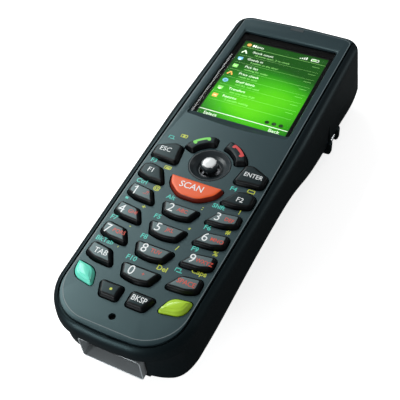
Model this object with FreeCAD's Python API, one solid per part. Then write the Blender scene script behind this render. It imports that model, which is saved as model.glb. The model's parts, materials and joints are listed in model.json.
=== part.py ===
import FreeCAD, Part
import math
import os

# Portable barcode data terminal lying on its back, in millimetres.
# +Z is up out of the display, +Y runs to the scanning end, +X is to the right of the display.
# The origin is on the surface that it lies on, under the middle of the display's width.

# Case: overall sizes
CASE_LENGTH = 155.6
CASE_MIDDLE_Y = 1.0
HEAD_HALF_WIDTH = 26.4
SHOULDER_HALF_WIDTH = 26.2
FOOT_HALF_WIDTH = 23.2
SHOULDER_Y = 15.0
FOOT_BOW = 1.2
HEAD_BOW = 1.0
FOOT_CORNER = 16.5
HEAD_CORNER = 7.0
BOW_RADIUS = 90.0
SHOULDER_RADIUS = 200.0
PANEL_TOP = 30.0
RIM_ROUND = 3.4
WALL = 1.8
PARTING_Z = 18.0
SIDE_DRAFT = 0.075
HEAD_DRAFT = 0.03
FOOT_LIP_Z = 24.4
FOOT_STEP = 3.2
FOOT_STEP_REACH = 22.0

# Back of the case: stations along Y with the height of the back and the radius of its side edges
BACK_FLARE = 0.4
HEAD_FLARE = 2.0
HEAD_SWELL_Y = 35.0
HEAD_SWELL_LENGTH = 35.0
FLAT_MARGIN = 0.6
HEAD_BACK_ROUND = 13.5
GRIP_BACK_ROUND = 8.0
END_BACK_ROUND = 5.0
WAIST_HEIGHT = 12.1
BUTT_HEIGHT = 9.8

# Front panel
PANEL_THICKNESS = 1.2
PANEL_HEAD_HALF_WIDTH = 22.2
PANEL_WAIST_HALF_WIDTH = 21.3
PANEL_WAIST_Y = -12.0
PANEL_FOOT_HALF_WIDTH = 19.6
PANEL_FOOT_INSET = 2.7
PANEL_FOOT_BOW = 1.1
PANEL_FOOT_CORNER = 12.0
PANEL_HEAD_CORNER = 4.5
PANEL_GROOVE = 0.7
DECK_THICKNESS = 1.4

# Display
ACTIVE_WIDTH = 33.84
ACTIVE_HEIGHT = 45.12
ACTIVE_TOP_Y = 62.7
OPENING_HALF_WIDTH = 19.0
OPENING_TOP_Y = 66.6
OPENING_FOOT_Y = 17.0
OPENING_CORNER = 1.2
OPENING_CHAMFER = 0.45
RAMP_LENGTH = 4.0
RAMP_BOW = 1.6
GLASS_LAP = 1.4
GLASS_THICKNESS = 1.2
GLASS_GAP = 0.1
GASKET_THICKNESS = 0.4
GASKET_WIDTH = 1.2
MODULE_THICKNESS = 3.0
MODULE_MARGIN = 0.9
TRAY_THICKNESS = 0.5
TRAY_LIP = 2.0

# Keypad
KEY_RISE = 1.5
KEY_GAP = 0.35
KEY_DRAFT = 0.55
KEY_EDGE_ROUND = 0.35
KEY_FLANGE = 0.7
KEY_FLANGE_THICKNESS = 0.9
KEY_TRAVEL = 0.8
KEY_SEAT_GAP = 0.05
KEY_STOP_GAP = 0.1
ROW_PITCH = 8.55
ROW_TAPER = 0.2
MAT_THICKNESS = 1.0
MAT_HALF_WIDTH = 19.6
MAT_FOOT_Y = -65.2
MAT_HEAD_Y = 8.2
DOME_SHEET_THICKNESS = 0.25
DOME_RADIUS = 2.0
DOME_HEIGHT = 0.3
BOARD_THICKNESS = 1.6
BOARD_MARGIN = 0.6

# Joystick
STICK_Y = -5.8
DISH_RADIUS = 7.2
DISH_DEPTH = 2.2
DISH_GAP = 0.08
STICK_HOLE = 3.5
STICK_CAP_RADIUS = 2.9
STICK_TIP_RADIUS = 2.25
STICK_RISE = 1.7
STICK_SHAFT_RADIUS = 1.0
GIMBAL_HALF = 3.6
GIMBAL_PIN_RADIUS = 0.6
PIN_CLEARANCE = 0.05
STICK_PIVOT_DROP = 4.4

# Battery bay and its cover
COVER_HALF_WIDTH = 15.0
COVER_FOOT_INSET = 18.8
COVER_RAMP_LENGTH = 12.0
COVER_EDGE_ROUND = 4.0
COVER_TOP = 14.8
COVER_GAP = 0.3
HINGE_GAP = 0.9
HINGE_INSET = 2.2
HINGE_Z = 11.8
HINGE_PIN_RADIUS = 0.9
HINGE_PIN_LENGTH = 1.3
HINGE_RELIEF = 1.2
BAY_WALL = 1.5
BAY_TOP = 17.8
BAY_CEILING = 1.2
BAY_LEDGE = 1.3
COVER_SEAL_THICKNESS = 0.35
BATTERY_CLEARANCE = 0.4
BATTERY_LENGTH = 76.0
BATTERY_FOOT_ROOM = 11.0
TERMINAL_GAP = 0.6
TERMINAL_DEPTH = 3.4
TERMINAL_HALF_WIDTH = 6.0
TERMINAL_LOW_Z = 11.0
TERMINAL_ROOM = 3.0
BATTERY_ROUND = 2.5

# Battery latch
LATCH_PAD_WIDTH = 13.0
LATCH_PAD_LENGTH = 8.0
LATCH_TRAVEL = 3.0
LATCH_POCKET_DEPTH = 2.0
LATCH_PAD_SETBACK = 0.3
LATCH_CLEARANCE = 0.15
LATCH_STEM_WIDTH = 4.0
LATCH_STEM_LENGTH = 4.0
LATCH_TONGUE_WIDTH = 10.0
LATCH_TONGUE_THICKNESS = 1.2
LATCH_RIBS = 4

# Scanning end
WINDOW_HALF_WIDTH = 14.0
WINDOW_LOW_Z = 8.4
WINDOW_HIGH_Z = 16.4
WINDOW_CORNER = 2.0
WINDOW_THICKNESS = 1.2
WINDOW_SETBACK = 0.7
WINDOW_LAP = 0.8
ENGINE_WIDTH = 22.0
ENGINE_SETBACK = 2.4
ENGINE_LENGTH = 15.0
ENGINE_HEIGHT = 12.0
ENGINE_LENS_RADIUS = 2.8

# Dock connector
DOCK_INSET = 2.6
DOCK_HALF_WIDTH = 10.4
DOCK_LOW_Z = 10.0
DOCK_HIGH_Z = 20.0
DOCK_COLLAR = 1.3
DOCK_SHIELD_THICKNESS = 0.4
DOCK_SHIELD_PROUD = 2.0
DOCK_SHIELD_ROUND = 1.2
DOCK_LENGTH = 11.8
DOCK_SOCKET_DEPTH = 6.0
DOCK_TONGUE_THICKNESS = 1.6
DOCK_TONGUE_DROP = 1.2
DOCK_PIN_COUNT = 12
DOCK_PIN_PITCH = 1.45
DOCK_PIN_WIDTH = 0.7
DOCK_GAP = 0.1

# Fasteners and small parts
SCREW_RADIUS = 1.0
SCREW_LENGTH = 8.0
SCREW_HEAD_RADIUS = 1.9
SCREW_HEAD_HEIGHT = 1.3
SCREW_SLOT = 0.6
SCREW_FIT = 0.02
SCREW_CLEARANCE = 0.15
BOSS_WALL = 1.6
SEAL_WIDTH = 0.7
SEAL_HEIGHT = 0.7
HEAD_POST_X = 19.5
HEAD_POST_INSET = 7.6
FOOT_POST_X = 14.2
FOOT_POST_INSET = 11.2
CASE_SCREW_SEAT_Z = 13.2
BOARD_POST_X = 13.0
BOARD_POST_Y = 10.1
BOARD_HEAD_POST_X = 13.9
BOARD_HEAD_POST_INSET = 8.6
BOARD_SCREW_LENGTH = 3.4
BOARD_SCREW_HEAD_RADIUS = 1.55
MIC_INSET = 8.2
MIC_HOLE_RADIUS = 1.1
MIC_RADIUS = 2.2
LIGHT_HALF_WIDTH = 2.6
LIGHT_INSET = 5.2
LIGHT_LENGTH = 1.5
STRAP_Y = 44.0
STRAP_Z = 6.6
STRAP_SPAN = 6.0
STRAP_LOBE = 2.6
STRAP_PROUD = 1.5
STRAP_PIN_RADIUS = 0.9
STRAP_NOTCH_DEPTH = 3.2
SPEAKER_RADIUS = 4.2
SPEAKER_HEIGHT = 3.0
SPEAKER_X = -12.9
SPEAKER_ROOM = 5.0
GRILLE_HOLE_RADIUS = 0.6
MOTOR_RADIUS = 4.0
MOTOR_HEIGHT = 2.7
MOTOR_X = 12.8
ANTENNA_HALF_WIDTH = 11.0
ANTENNA_THICKNESS = 0.6
RADIO_HALF_WIDTH = 11.0
RADIO_LENGTH = 18.0
RADIO_INSET = 20.8
RADIO_CARD_THICKNESS = 0.9
RADIO_CAN_HEIGHT = 1.4
RADIO_CAN_MARGIN = 1.5

# Worked-out levels
HEAD_END_Y = CASE_MIDDLE_Y + CASE_LENGTH / 2
FOOT_END_Y = CASE_MIDDLE_Y - CASE_LENGTH / 2
PANEL_FOOT_Y = FOOT_END_Y + PANEL_FOOT_INSET
DOCK_FACE_Y = FOOT_END_Y + DOCK_INSET
MIC_Y = FOOT_END_Y + MIC_INSET
LIGHT_Y = HEAD_END_Y - LIGHT_INSET
COVER_FOOT_Y = FOOT_END_Y + COVER_FOOT_INSET
COVER_RAMP_Y = COVER_FOOT_Y + COVER_RAMP_LENGTH
HINGE_Y = COVER_FOOT_Y + HINGE_INSET
BATTERY_FOOT_Y = COVER_FOOT_Y + BATTERY_FOOT_ROOM
BATTERY_HEAD_Y = BATTERY_FOOT_Y + BATTERY_LENGTH
TERMINAL_FOOT_Y = BATTERY_HEAD_Y + TERMINAL_GAP
TERMINAL_HEAD_Y = TERMINAL_FOOT_Y + TERMINAL_DEPTH
COVER_HEAD_Y = TERMINAL_HEAD_Y + TERMINAL_ROOM
SPEAKER_Y = COVER_HEAD_Y + COVER_GAP + BAY_WALL + SPEAKER_RADIUS + SPEAKER_ROOM
MOTOR_Y = SPEAKER_Y
CASE_SCREW_POSTS = ((HEAD_POST_X, HEAD_END_Y - HEAD_POST_INSET), (FOOT_POST_X, FOOT_END_Y + FOOT_POST_INSET))
BOARD_SCREW_POSTS = ((BOARD_POST_X, BOARD_POST_Y), (BOARD_HEAD_POST_X, HEAD_END_Y - BOARD_HEAD_POST_INSET))
DECK_TOP = PANEL_TOP - PANEL_THICKNESS
DECK_LOW = DECK_TOP - DECK_THICKNESS
GLASS_TOP = DECK_TOP
GLASS_LOW = GLASS_TOP - GLASS_THICKNESS
MODULE_TOP = GLASS_LOW - GASKET_THICKNESS
MODULE_LOW = MODULE_TOP - MODULE_THICKNESS
TRAY_LOW = MODULE_LOW - TRAY_THICKNESS
BOARD_TOP = TRAY_LOW
BOARD_LOW = BOARD_TOP - BOARD_THICKNESS
DOME_TOP = BOARD_TOP + DOME_SHEET_THICKNESS
FLANGE_TOP = DECK_LOW - KEY_SEAT_GAP
FLANGE_LOW = FLANGE_TOP - KEY_FLANGE_THICKNESS
MAT_LOW = DOME_TOP
MAT_TOP = FLANGE_LOW - KEY_TRAVEL - KEY_STOP_GAP
KEY_TOP = PANEL_TOP + KEY_RISE
BAY_HALF_WIDTH = COVER_HALF_WIDTH + COVER_GAP
BAY_FOOT_Y = COVER_FOOT_Y - HINGE_GAP
BAY_HEAD_Y = COVER_HEAD_Y + COVER_GAP
TUB_TOP = BAY_TOP + BAY_CEILING
LEDGE_Z = COVER_TOP + COVER_SEAL_THICKNESS + KEY_SEAT_GAP
INNER_HALF_WIDTH = BAY_HALF_WIDTH - BAY_LEDGE
BOSS_RADIUS = SCREW_HEAD_RADIUS + SCREW_CLEARANCE + BOSS_WALL
POST_RADIUS = SCREW_RADIUS + BOSS_WALL
BIG = 400.0


def vec(x, y, z=0.0):
    return FreeCAD.Vector(x, y, z)


def box(x0, x1, y0, y1, z0, z1):
    return Part.makeBox(x1 - x0, y1 - y0, z1 - z0, vec(x0, y0, z0))


def rod(radius, start, end):
    along = end.sub(start)
    return Part.makeCylinder(radius, along.Length, start, along)


def disc(radius, x, y, z0, z1):
    return Part.makeCylinder(radius, z1 - z0, vec(x, y, z0))


def mirrored(points):
    """The same outline on the other side of the middle, in the order that keeps it turning the same way."""
    return [(-p[0],) + tuple(p[1:]) for p in reversed(points)]


def rounded(points, place=lambda u, v: vec(u, v)):
    """A closed wire through corner points (u, v, radius), each corner cut by an arc tangent to both sides."""
    count = len(points)
    flat = [vec(point[0], point[1]) for point in points]
    sides = [flat[(i + 1) % count].sub(flat[i]) for i in range(count)]
    halves = [sides[i - 1].negative().getAngle(sides[i]) / 2 for i in range(count)]
    radii = [points[i][2] if len(points[i]) > 2 else 0.0 for i in range(count)]
    wanted = [radii[i] / math.tan(halves[i]) for i in range(count)]
    corners = []
    for i in range(count):
        if radii[i] <= 0.0:
            corners.append((flat[i], None, flat[i]))
            continue
        share = min(1.0, 0.98 * sides[i].Length / (wanted[i] + wanted[(i + 1) % count]),
                    0.98 * sides[i - 1].Length / (wanted[i] + wanted[i - 1]))
        reach = wanted[i] * share
        arc_radius = reach * math.tan(halves[i])
        back = vec(-sides[i - 1].x, -sides[i - 1].y).normalize()
        ahead = vec(sides[i].x, sides[i].y).normalize()
        middle = back.add(ahead).normalize()
        centre = flat[i].add(middle.multiply(arc_radius / math.sin(halves[i])))
        crown = flat[i].sub(centre).normalize()
        corners.append((flat[i].add(back.multiply(reach)), centre.add(crown.multiply(arc_radius)),
                        flat[i].add(ahead.multiply(reach))))
    edges = []
    for i in range(count):
        start, crown, end = corners[i]
        if crown is not None:
            edges.append(Part.Arc(place(start.x, start.y), place(crown.x, crown.y), place(end.x, end.y)).toShape())
        following = corners[(i + 1) % count][0]
        if following.sub(end).Length > 1e-5:
            edges.append(Part.LineSegment(place(end.x, end.y), place(following.x, following.y)).toShape())
    return Part.Wire(edges)


def drawn_in(points, amount):
    """The corner points of an outline moved inwards by amount, with their radii kept concentric."""
    count = len(points)
    area = sum(points[i - 1][0] * points[i][1] - points[i][0] * points[i - 1][1] for i in range(count))
    side = 1.0 if area > 0.0 else -1.0
    moved = []
    for i in range(count):
        before, here, after = points[i - 1], points[i], points[(i + 1) % count]
        first = vec(here[0] - before[0], here[1] - before[1]).normalize()
        second = vec(after[0] - here[0], after[1] - here[1]).normalize()
        turn = side * (first.x * second.y - first.y * second.x)
        normal_sum = vec(-first.y - second.y, first.x + second.x).multiply(side)
        reach = amount / (1.0 + first.dot(second))
        radius = here[2] if len(here) > 2 else 0.0
        if radius > 0.0:
            radius = max(radius - amount if turn > 0.0 else radius + amount, KEY_GAP / 2)
        moved.append((here[0] + normal_sum.x * reach, here[1] + normal_sum.y * reach, radius))
    return moved


def prism(wire, z0, z1):
    """A flat outline raised from z0 to z1."""
    lifted = wire.copy()
    lifted.translate(vec(0, 0, z0 - wire.BoundBox.ZMin))
    return Part.Face(lifted).extrude(vec(0, 0, z1 - z0))


def grown(wire, amount):
    """The outline moved outwards by amount, or inwards where amount is negative."""
    if abs(amount) < 1e-6:
        return wire
    return wire.makeOffset2D(amount)


def fuse(first, *others):
    return first.fuse(list(others)) if others else first


def both_sides(shape):
    """The shape and its mirror image across the middle plane."""
    return [shape, shape.mirror(vec(0, 0, 0), vec(1, 0, 0))]


def one_solid(shape):
    """The largest solid of a result, without slivers."""
    return max(shape.Solids, key=lambda solid: solid.Volume)


def save(name, shape):
    clean = shape.removeSplitter() if len(shape.Solids) == 1 else shape
    if not clean.isValid():
        clean = shape
    print(name, "solids", len(clean.Solids), "volume", round(clean.Volume, 1), "valid", clean.isValid())
    clean.exportStep("parts/" + name + ".step")


# Outlines

def case_points(z=PARTING_Z):
    """The corners of the case's outline; the head swells out a little towards its back."""
    foot_y = FOOT_END_Y
    head_y = HEAD_END_Y
    head_half = HEAD_HALF_WIDTH + HEAD_DRAFT * (PARTING_Z - z)
    right = [
        (0.0, foot_y, BOW_RADIUS),
        (FOOT_HALF_WIDTH, foot_y + FOOT_BOW, FOOT_CORNER),
        (SHOULDER_HALF_WIDTH, SHOULDER_Y, SHOULDER_RADIUS),
        (head_half, head_y - HEAD_BOW, HEAD_CORNER),
        (0.0, head_y, BOW_RADIUS),
    ]
    return right + mirrored(right[1:-1])


def case_outline(inset=0.0):
    return rounded(drawn_in(case_points(), inset))


def foot_outline():
    """The part of the case under the lip of the foot end, set back from the lip."""
    foot_y = FOOT_END_Y + FOOT_STEP
    half = FOOT_HALF_WIDTH - FOOT_STEP * 0.5
    join_y = foot_y + FOOT_STEP_REACH
    join = half_width_at(join_y) + SIDE_DRAFT * PANEL_TOP
    right = [(0.0, foot_y, BOW_RADIUS), (half, foot_y + FOOT_BOW, FOOT_CORNER),
             (join, join_y), (join, HEAD_END_Y * 2)]
    return rounded(right + mirrored(right[1:]))


def parting_block(inset, z0, z1):
    """The plan of the case at its parting line under the foot's lip, moved inwards and raised from z0 to z1."""
    return prism(case_outline(inset), z0, z1).common(prism(grown(foot_outline(), -inset), z0, z1))


def panel_outline(grow=0.0):
    beyond_y = HEAD_END_Y + PANEL_THICKNESS
    right = [
        (0.0, PANEL_FOOT_Y, BOW_RADIUS),
        (PANEL_FOOT_HALF_WIDTH, PANEL_FOOT_Y + PANEL_FOOT_BOW, PANEL_FOOT_CORNER),
        (PANEL_WAIST_HALF_WIDTH, PANEL_WAIST_Y, SHOULDER_RADIUS),
        (PANEL_HEAD_HALF_WIDTH, beyond_y, PANEL_HEAD_CORNER),
    ]
    return grown(rounded(right + mirrored(right[1:])), grow)


def back_stations():
    """Along Y: the height of the back above the floor and the rounding of its side edges."""
    flat = -FLAT_MARGIN
    return [
        (FOOT_END_Y - 3.2, PARTING_Z + 2.0, END_BACK_ROUND * 0.6),
        (FOOT_END_Y + 0.8, PARTING_Z - 2.6, END_BACK_ROUND * 0.6),
        (FOOT_END_Y + 3.8, BUTT_HEIGHT + 2.4, END_BACK_ROUND),
        (FOOT_END_Y + 6.8, BUTT_HEIGHT + 0.5, END_BACK_ROUND * 1.2),
        (FOOT_END_Y + 11.8, BUTT_HEIGHT - 0.2, GRIP_BACK_ROUND),
        (FOOT_END_Y + 18.8, BUTT_HEIGHT, GRIP_BACK_ROUND),
        (-41.0, BUTT_HEIGHT + 0.9, GRIP_BACK_ROUND),
        (-25.0, BUTT_HEIGHT + 2.0, GRIP_BACK_ROUND),
        (-10.0, WAIST_HEIGHT, GRIP_BACK_ROUND),
        (6.0, WAIST_HEIGHT - 1.6, GRIP_BACK_ROUND),
        (18.0, WAIST_HEIGHT * 0.54, GRIP_BACK_ROUND),
        (27.0, WAIST_HEIGHT * 0.2, HEAD_BACK_ROUND * 0.75),
        (35.0, flat + 0.1, HEAD_BACK_ROUND * 0.9),
        (48.0, flat, HEAD_BACK_ROUND),
        (62.0, flat, HEAD_BACK_ROUND),
        (HEAD_END_Y - 10.8, 0.5, HEAD_BACK_ROUND),
        (HEAD_END_Y - 6.8, 2.4, HEAD_BACK_ROUND),
        (HEAD_END_Y - 3.3, 4.9, HEAD_BACK_ROUND),
        (HEAD_END_Y, 8.4, HEAD_BACK_ROUND),
        (HEAD_END_Y + 3.0, 12.6, HEAD_BACK_ROUND),
    ]


def half_width_at(y):
    """Half the width of the case at y, from its straight sides."""
    if y < SHOULDER_Y:
        share = (y - FOOT_END_Y) / (SHOULDER_Y - FOOT_END_Y)
        return FOOT_HALF_WIDTH + (SHOULDER_HALF_WIDTH - FOOT_HALF_WIDTH) * share
    share = (y - SHOULDER_Y) / (HEAD_END_Y - SHOULDER_Y)
    return SHOULDER_HALF_WIDTH + (HEAD_HALF_WIDTH - SHOULDER_HALF_WIDTH) * share


def back_section(y, low, radius, half):
    """One U-shaped section of the back across the case, open towards the panel."""
    high = PANEL_TOP + WALL * 4
    lean = math.sqrt(0.5)
    edges = [
        Part.LineSegment(vec(-half, y, high), vec(-half, y, low + radius)).toShape(),
        Part.Arc(vec(-half, y, low + radius),
                 vec(-half + radius * (1 - lean), y, low + radius * (1 - lean)),
                 vec(-half + radius, y, low)).toShape(),
        Part.LineSegment(vec(-half + radius, y, low), vec(half - radius, y, low)).toShape(),
        Part.Arc(vec(half - radius, y, low),
                 vec(half - radius * (1 - lean), y, low + radius * (1 - lean)),
                 vec(half, y, low + radius)).toShape(),
        Part.LineSegment(vec(half, y, low + radius), vec(half, y, high)).toShape(),
        Part.LineSegment(vec(half, y, high), vec(-half, y, high)).toShape(),
    ]
    return Part.Wire(edges)


def back_form(inset=0.0):
    """A solid whose underside is the back of the case, drawn through the stations."""
    sections = []
    for y, low, radius in back_stations():
        swell = min(1.0, max(0.0, (y - HEAD_SWELL_Y) / HEAD_SWELL_LENGTH))
        half = half_width_at(y) + BACK_FLARE + HEAD_FLARE * swell - inset
        sections.append(back_section(y, low + inset, max(radius - inset, 1.0), half))
    return Part.makeLoft(sections, True, False)


def drafted(inset, z0, z1):
    """A block whose sides lean in towards the panel, true to its outline at the parting line."""
    wires = []
    for z in (z0, z1):
        amount = inset + SIDE_DRAFT * (z - PARTING_Z)
        wires.append(rounded(drawn_in(case_points(z), amount), lambda u, v, level=z: vec(u, v, level)))
    return Part.makeLoft(wires, True, True)


def case_block(inset=0.0):
    """The outside of the case as one solid, or its inside at the wall's depth."""
    high = PANEL_TOP - inset
    block = drafted(inset, 0.0, high)
    top_edges = [edge for edge in block.Edges if edge.BoundBox.ZMin > high - 1e-4]
    block = block.makeFillet(RIM_ROUND - inset, top_edges)
    block = block.common(back_form(inset))
    step = box(-BIG, BIG, -BIG, HEAD_END_Y / 2, -1.0, FOOT_LIP_Z + inset).cut(
        prism(grown(foot_outline(), -inset), -1.0, FOOT_LIP_Z + inset))
    block = block.cut(step)
    if inset > 0.0:
        block = block.common(box(-BIG, BIG, -BIG, BIG, inset, BIG))
    return one_solid(block)


# Key outlines on the panel: corner points with their radii, all in millimetres

def side_key(row):
    """The number keys beside the middle column, right-hand ones."""
    y = -ROW_PITCH * row
    outer = ROW_TAPER * row
    return [
        (8.3, y - 28.9, 0.9),
        (15.5, y - 28.5, 6.0),
        (19.4 - outer, y - 27.0, 1.6),
        (19.3 - outer, y - 22.2, 1.3),
        (11.7, y - 23.2, 2.0),
    ]


def middle_key(row):
    y = -ROW_PITCH * row
    right = [(0.0, y - 31.3, 12.0), (4.7, y - 30.2, 1.5), (6.7, y - 25.4, 0.9)]
    return right + mirrored(right[1:])


def leaf_key():
    return [(10.6, -62.4, 0.7), (18.3, -61.0, 4.0), (19.0, -55.7, 0.7), (12.6, -56.6, 4.0)]


def low_key():
    return [(1.3, -64.2, 1.0), (7.3, -64.2, 1.5), (9.4, -59.0, 1.0), (1.3, -59.0, 1.0)]


def upper_key():
    return [(10.0, -10.4, 1.3), (20.3, -9.7, 1.6), (20.4, -4.4, 1.6), (14.2, -1.3, 3.0), (11.3, -1.9, 1.6)]


def function_key():
    return [(9.5, -19.9, 0.9), (15.4, -19.9, 5.0), (20.2, -18.6, 1.8),
            (20.2, -13.7, 1.6), (17.4, -12.4, 2.5), (13.4, -13.4, 2.2)]


def scan_key():
    right = [(3.6, -22.3, 6.0), (8.2, -18.6, 5.0), (9.6, -14.5, 0.8)]
    return right + mirrored(right)


def phone_key():
    """A kidney round the joystick: two arcs about the stick's middle, closed by rounded ends."""
    inner = DISH_RADIUS + 0.85
    outer = DISH_RADIUS + 5.1
    first = math.radians(20.0)
    last = math.radians(80.0)
    points = []
    for radius, start, end in ((outer, first, last), (inner, last, first)):
        bend = radius / math.cos((last - first) / 4)
        for share, reach, corner in ((0.0, radius, 1.5), (0.25, bend, radius), (0.75, bend, radius), (1.0, radius, 1.5)):
            angle = start + (end - start) * share
            points.append((reach * math.cos(angle), STICK_Y + reach * math.sin(angle), corner))
    return points


def key_outlines():
    """Every key's name and the corner points of its outline on the panel."""
    outlines = {
        "key_escape": mirrored(upper_key()),
        "key_enter": upper_key(),
        "key_call": mirrored(phone_key()),
        "key_end": phone_key(),
        "key_f1": mirrored(function_key()),
        "key_scan": scan_key(),
        "key_f2": function_key(),
        "key_tab": mirrored(side_key(3)),
        "key_0": middle_key(3),
        "key_space": side_key(3),
        "key_function_left": mirrored(leaf_key()),
        "key_point": mirrored(low_key()),
        "key_backspace": low_key(),
        "key_function_right": leaf_key(),
    }
    for row in range(3):
        outlines["key_" + str(3 * row + 1)] = mirrored(side_key(row))
        outlines["key_" + str(3 * row + 2)] = middle_key(row)
        outlines["key_" + str(3 * row + 3)] = side_key(row)
    return outlines


CROWDED_KEYS = {"key_call": "key_escape", "key_end": "key_enter"}


def key_centre(points):
    return Part.Face(rounded(points)).CenterOfMass


def key_prism(points, grow, z0, z1):
    return prism(rounded(drawn_in(points, -grow)), z0, z1)


def make_key(points, neighbours):
    """A key: its cap above the panel, and the flange that keeps it under the deck, clear of its neighbours."""
    stem = key_prism(points, 0.0, FLANGE_TOP - KEY_SEAT_GAP, PANEL_TOP)
    wires = []
    for z, inset in ((PANEL_TOP, 0.0), (KEY_TOP - KEY_EDGE_ROUND, KEY_DRAFT - KEY_EDGE_ROUND / 2),
                     (KEY_TOP, KEY_DRAFT + KEY_EDGE_ROUND / 2)):
        wires.append(rounded(drawn_in(points, inset), lambda u, v, level=z: vec(u, v, level)))
    cap = Part.makeLoft(wires, True, True)
    flange = key_prism(points, KEY_FLANGE, FLANGE_LOW, FLANGE_TOP)
    for neighbour in neighbours:
        flange = flange.cut(key_prism(neighbour, KEY_FLANGE + KEY_SEAT_GAP * 3, FLANGE_LOW, FLANGE_TOP))
    return one_solid(fuse(stem, cap, flange))


def key_openings(outlines, z0, z1):
    return [key_prism(points, KEY_GAP, z0, z1) for points in outlines.values()]


# Parts of the case

def panel_opening():
    """The display opening: a rounded window, a long ramp at its foot and a thin chamfer round it."""
    window = prism(rounded([
        (-OPENING_HALF_WIDTH, OPENING_FOOT_Y, OPENING_CORNER), (OPENING_HALF_WIDTH, OPENING_FOOT_Y, OPENING_CORNER),
        (OPENING_HALF_WIDTH, OPENING_TOP_Y, OPENING_CORNER), (-OPENING_HALF_WIDTH, OPENING_TOP_Y, OPENING_CORNER),
    ]), DECK_TOP - 1.0, PANEL_TOP + 1.0)
    outer = OPENING_HALF_WIDTH + OPENING_CHAMFER
    level = PANEL_TOP - OPENING_CHAMFER
    low_face = rounded([(-OPENING_HALF_WIDTH, OPENING_FOOT_Y), (OPENING_HALF_WIDTH, OPENING_FOOT_Y),
                        (OPENING_HALF_WIDTH, OPENING_TOP_Y), (-OPENING_HALF_WIDTH, OPENING_TOP_Y)],
                       lambda u, v: vec(u, v, level))
    high_face = rounded([(-outer, OPENING_FOOT_Y), (outer, OPENING_FOOT_Y),
                         (outer, OPENING_TOP_Y + 2 * OPENING_CHAMFER), (-outer, OPENING_TOP_Y + 2 * OPENING_CHAMFER)],
                        lambda u, v: vec(u, v, PANEL_TOP))
    chamfer = Part.makeLoft([low_face, high_face], True, True)
    ramp_foot = OPENING_FOOT_Y - RAMP_LENGTH
    slope = Part.Face(rounded([(ramp_foot, PANEL_TOP), (OPENING_FOOT_Y + OPENING_CORNER, DECK_TOP),
                               (OPENING_FOOT_Y + OPENING_CORNER, PANEL_TOP + 1.0), (ramp_foot, PANEL_TOP + 1.0)],
                              lambda u, v: vec(-outer, u, v))).extrude(vec(2 * outer, 0, 0))
    reach = prism(rounded([(-OPENING_HALF_WIDTH, ramp_foot + RAMP_BOW, 1.0), (0.0, ramp_foot, BOW_RADIUS),
                           (OPENING_HALF_WIDTH, ramp_foot + RAMP_BOW, 1.0),
                           (OPENING_HALF_WIDTH, OPENING_FOOT_Y + 2.0), (-OPENING_HALF_WIDTH, OPENING_FOOT_Y + 2.0)]),
                  DECK_TOP - 1.0, PANEL_TOP + 2.0)
    return [window, chamfer, slope.common(reach)]


def light_pipe_block(grow=0.0):
    return box(-LIGHT_HALF_WIDTH - grow, LIGHT_HALF_WIDTH + grow,
               LIGHT_Y - LIGHT_LENGTH / 2 - grow, LIGHT_Y + LIGHT_LENGTH / 2 + grow,
               BOARD_TOP, PANEL_TOP + 1.0)


def make_front_panel(case, outlines):
    panel = prism(panel_outline(), DECK_TOP, PANEL_TOP + 1.0).common(case)
    cuts = key_openings(outlines, DECK_TOP - 1.0, PANEL_TOP + 1.0)
    cuts += panel_opening()
    cuts.append(disc(DISH_RADIUS, 0, STICK_Y, DECK_TOP - 1.0, PANEL_TOP + 1.0))
    cuts.append(disc(MIC_HOLE_RADIUS, 0, MIC_Y, DECK_TOP - 1.0, PANEL_TOP + 1.0))
    cuts.append(light_pipe_block(GLASS_GAP))
    return one_solid(panel.cut(cuts))


def glass_box(grow, z0, z1):
    half = OPENING_HALF_WIDTH + GLASS_LAP + grow
    return box(-half, half, OPENING_FOOT_Y - RAMP_LENGTH - GLASS_LAP - grow, OPENING_TOP_Y + GLASS_LAP + grow, z0, z1)


def case_posts():
    return [(side * x, y) for x, y in CASE_SCREW_POSTS for side in (1, -1)]


def board_posts():
    return [(side * x, y) for x, y in BOARD_SCREW_POSTS for side in (1, -1)]


def dock_collar_box():
    half = DOCK_HALF_WIDTH + DOCK_COLLAR
    return box(-half, half, DOCK_FACE_Y + DOCK_SHIELD_PROUD, DOCK_FACE_Y + DOCK_LENGTH,
               DOCK_LOW_Z - DOCK_COLLAR / 2, DOCK_HIGH_Z + DOCK_COLLAR / 2)


def dock_clearance():
    """The room for the dock connector, open towards the foot."""
    half = DOCK_HALF_WIDTH + DOCK_COLLAR + DOCK_GAP
    return box(-half, half, -BIG, DOCK_FACE_Y + DOCK_LENGTH + DOCK_GAP,
               DOCK_LOW_Z - DOCK_COLLAR / 2 - DOCK_GAP, DOCK_HIGH_Z + DOCK_COLLAR / 2 + DOCK_GAP)


def make_front_housing(case, outlines):
    shell = case.common(box(-BIG, BIG, -BIG, BIG, PARTING_Z, BIG))
    hollow = case_block(WALL).common(box(-BIG, BIG, -BIG, BIG, PARTING_Z - 1.0, DECK_LOW))
    recess = prism(panel_outline(PANEL_GROOVE), DECK_TOP, PANEL_TOP + 1.0)
    shell = shell.cut([hollow, recess])
    posts = [disc(POST_RADIUS, x, y, PARTING_Z, DECK_LOW + 0.2).common(case) for x, y in case_posts()]
    shell = fuse(shell, *posts)
    cuts = key_openings(outlines, DECK_LOW - 1.0, DECK_TOP + 1.0)
    cuts.append(glass_box(GLASS_GAP, DECK_LOW - 1.0, DECK_TOP + 0.5))
    cuts.append(disc(DISH_RADIUS - 1.0, 0, STICK_Y, DECK_LOW - 1.0, DECK_TOP + 1.0))
    cuts.append(disc(MIC_HOLE_RADIUS, 0, MIC_Y, DECK_LOW - 1.0, DECK_TOP + 1.0))
    cuts.append(light_pipe_block(GLASS_GAP))
    cuts.append(dock_clearance())
    for x, y in case_posts():
        cuts.append(disc(SCREW_RADIUS + SCREW_FIT, x, y, PARTING_Z - 1.0, CASE_SCREW_SEAT_Z + SCREW_LENGTH + 0.5))
    return one_solid(shell.cut(cuts))


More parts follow.
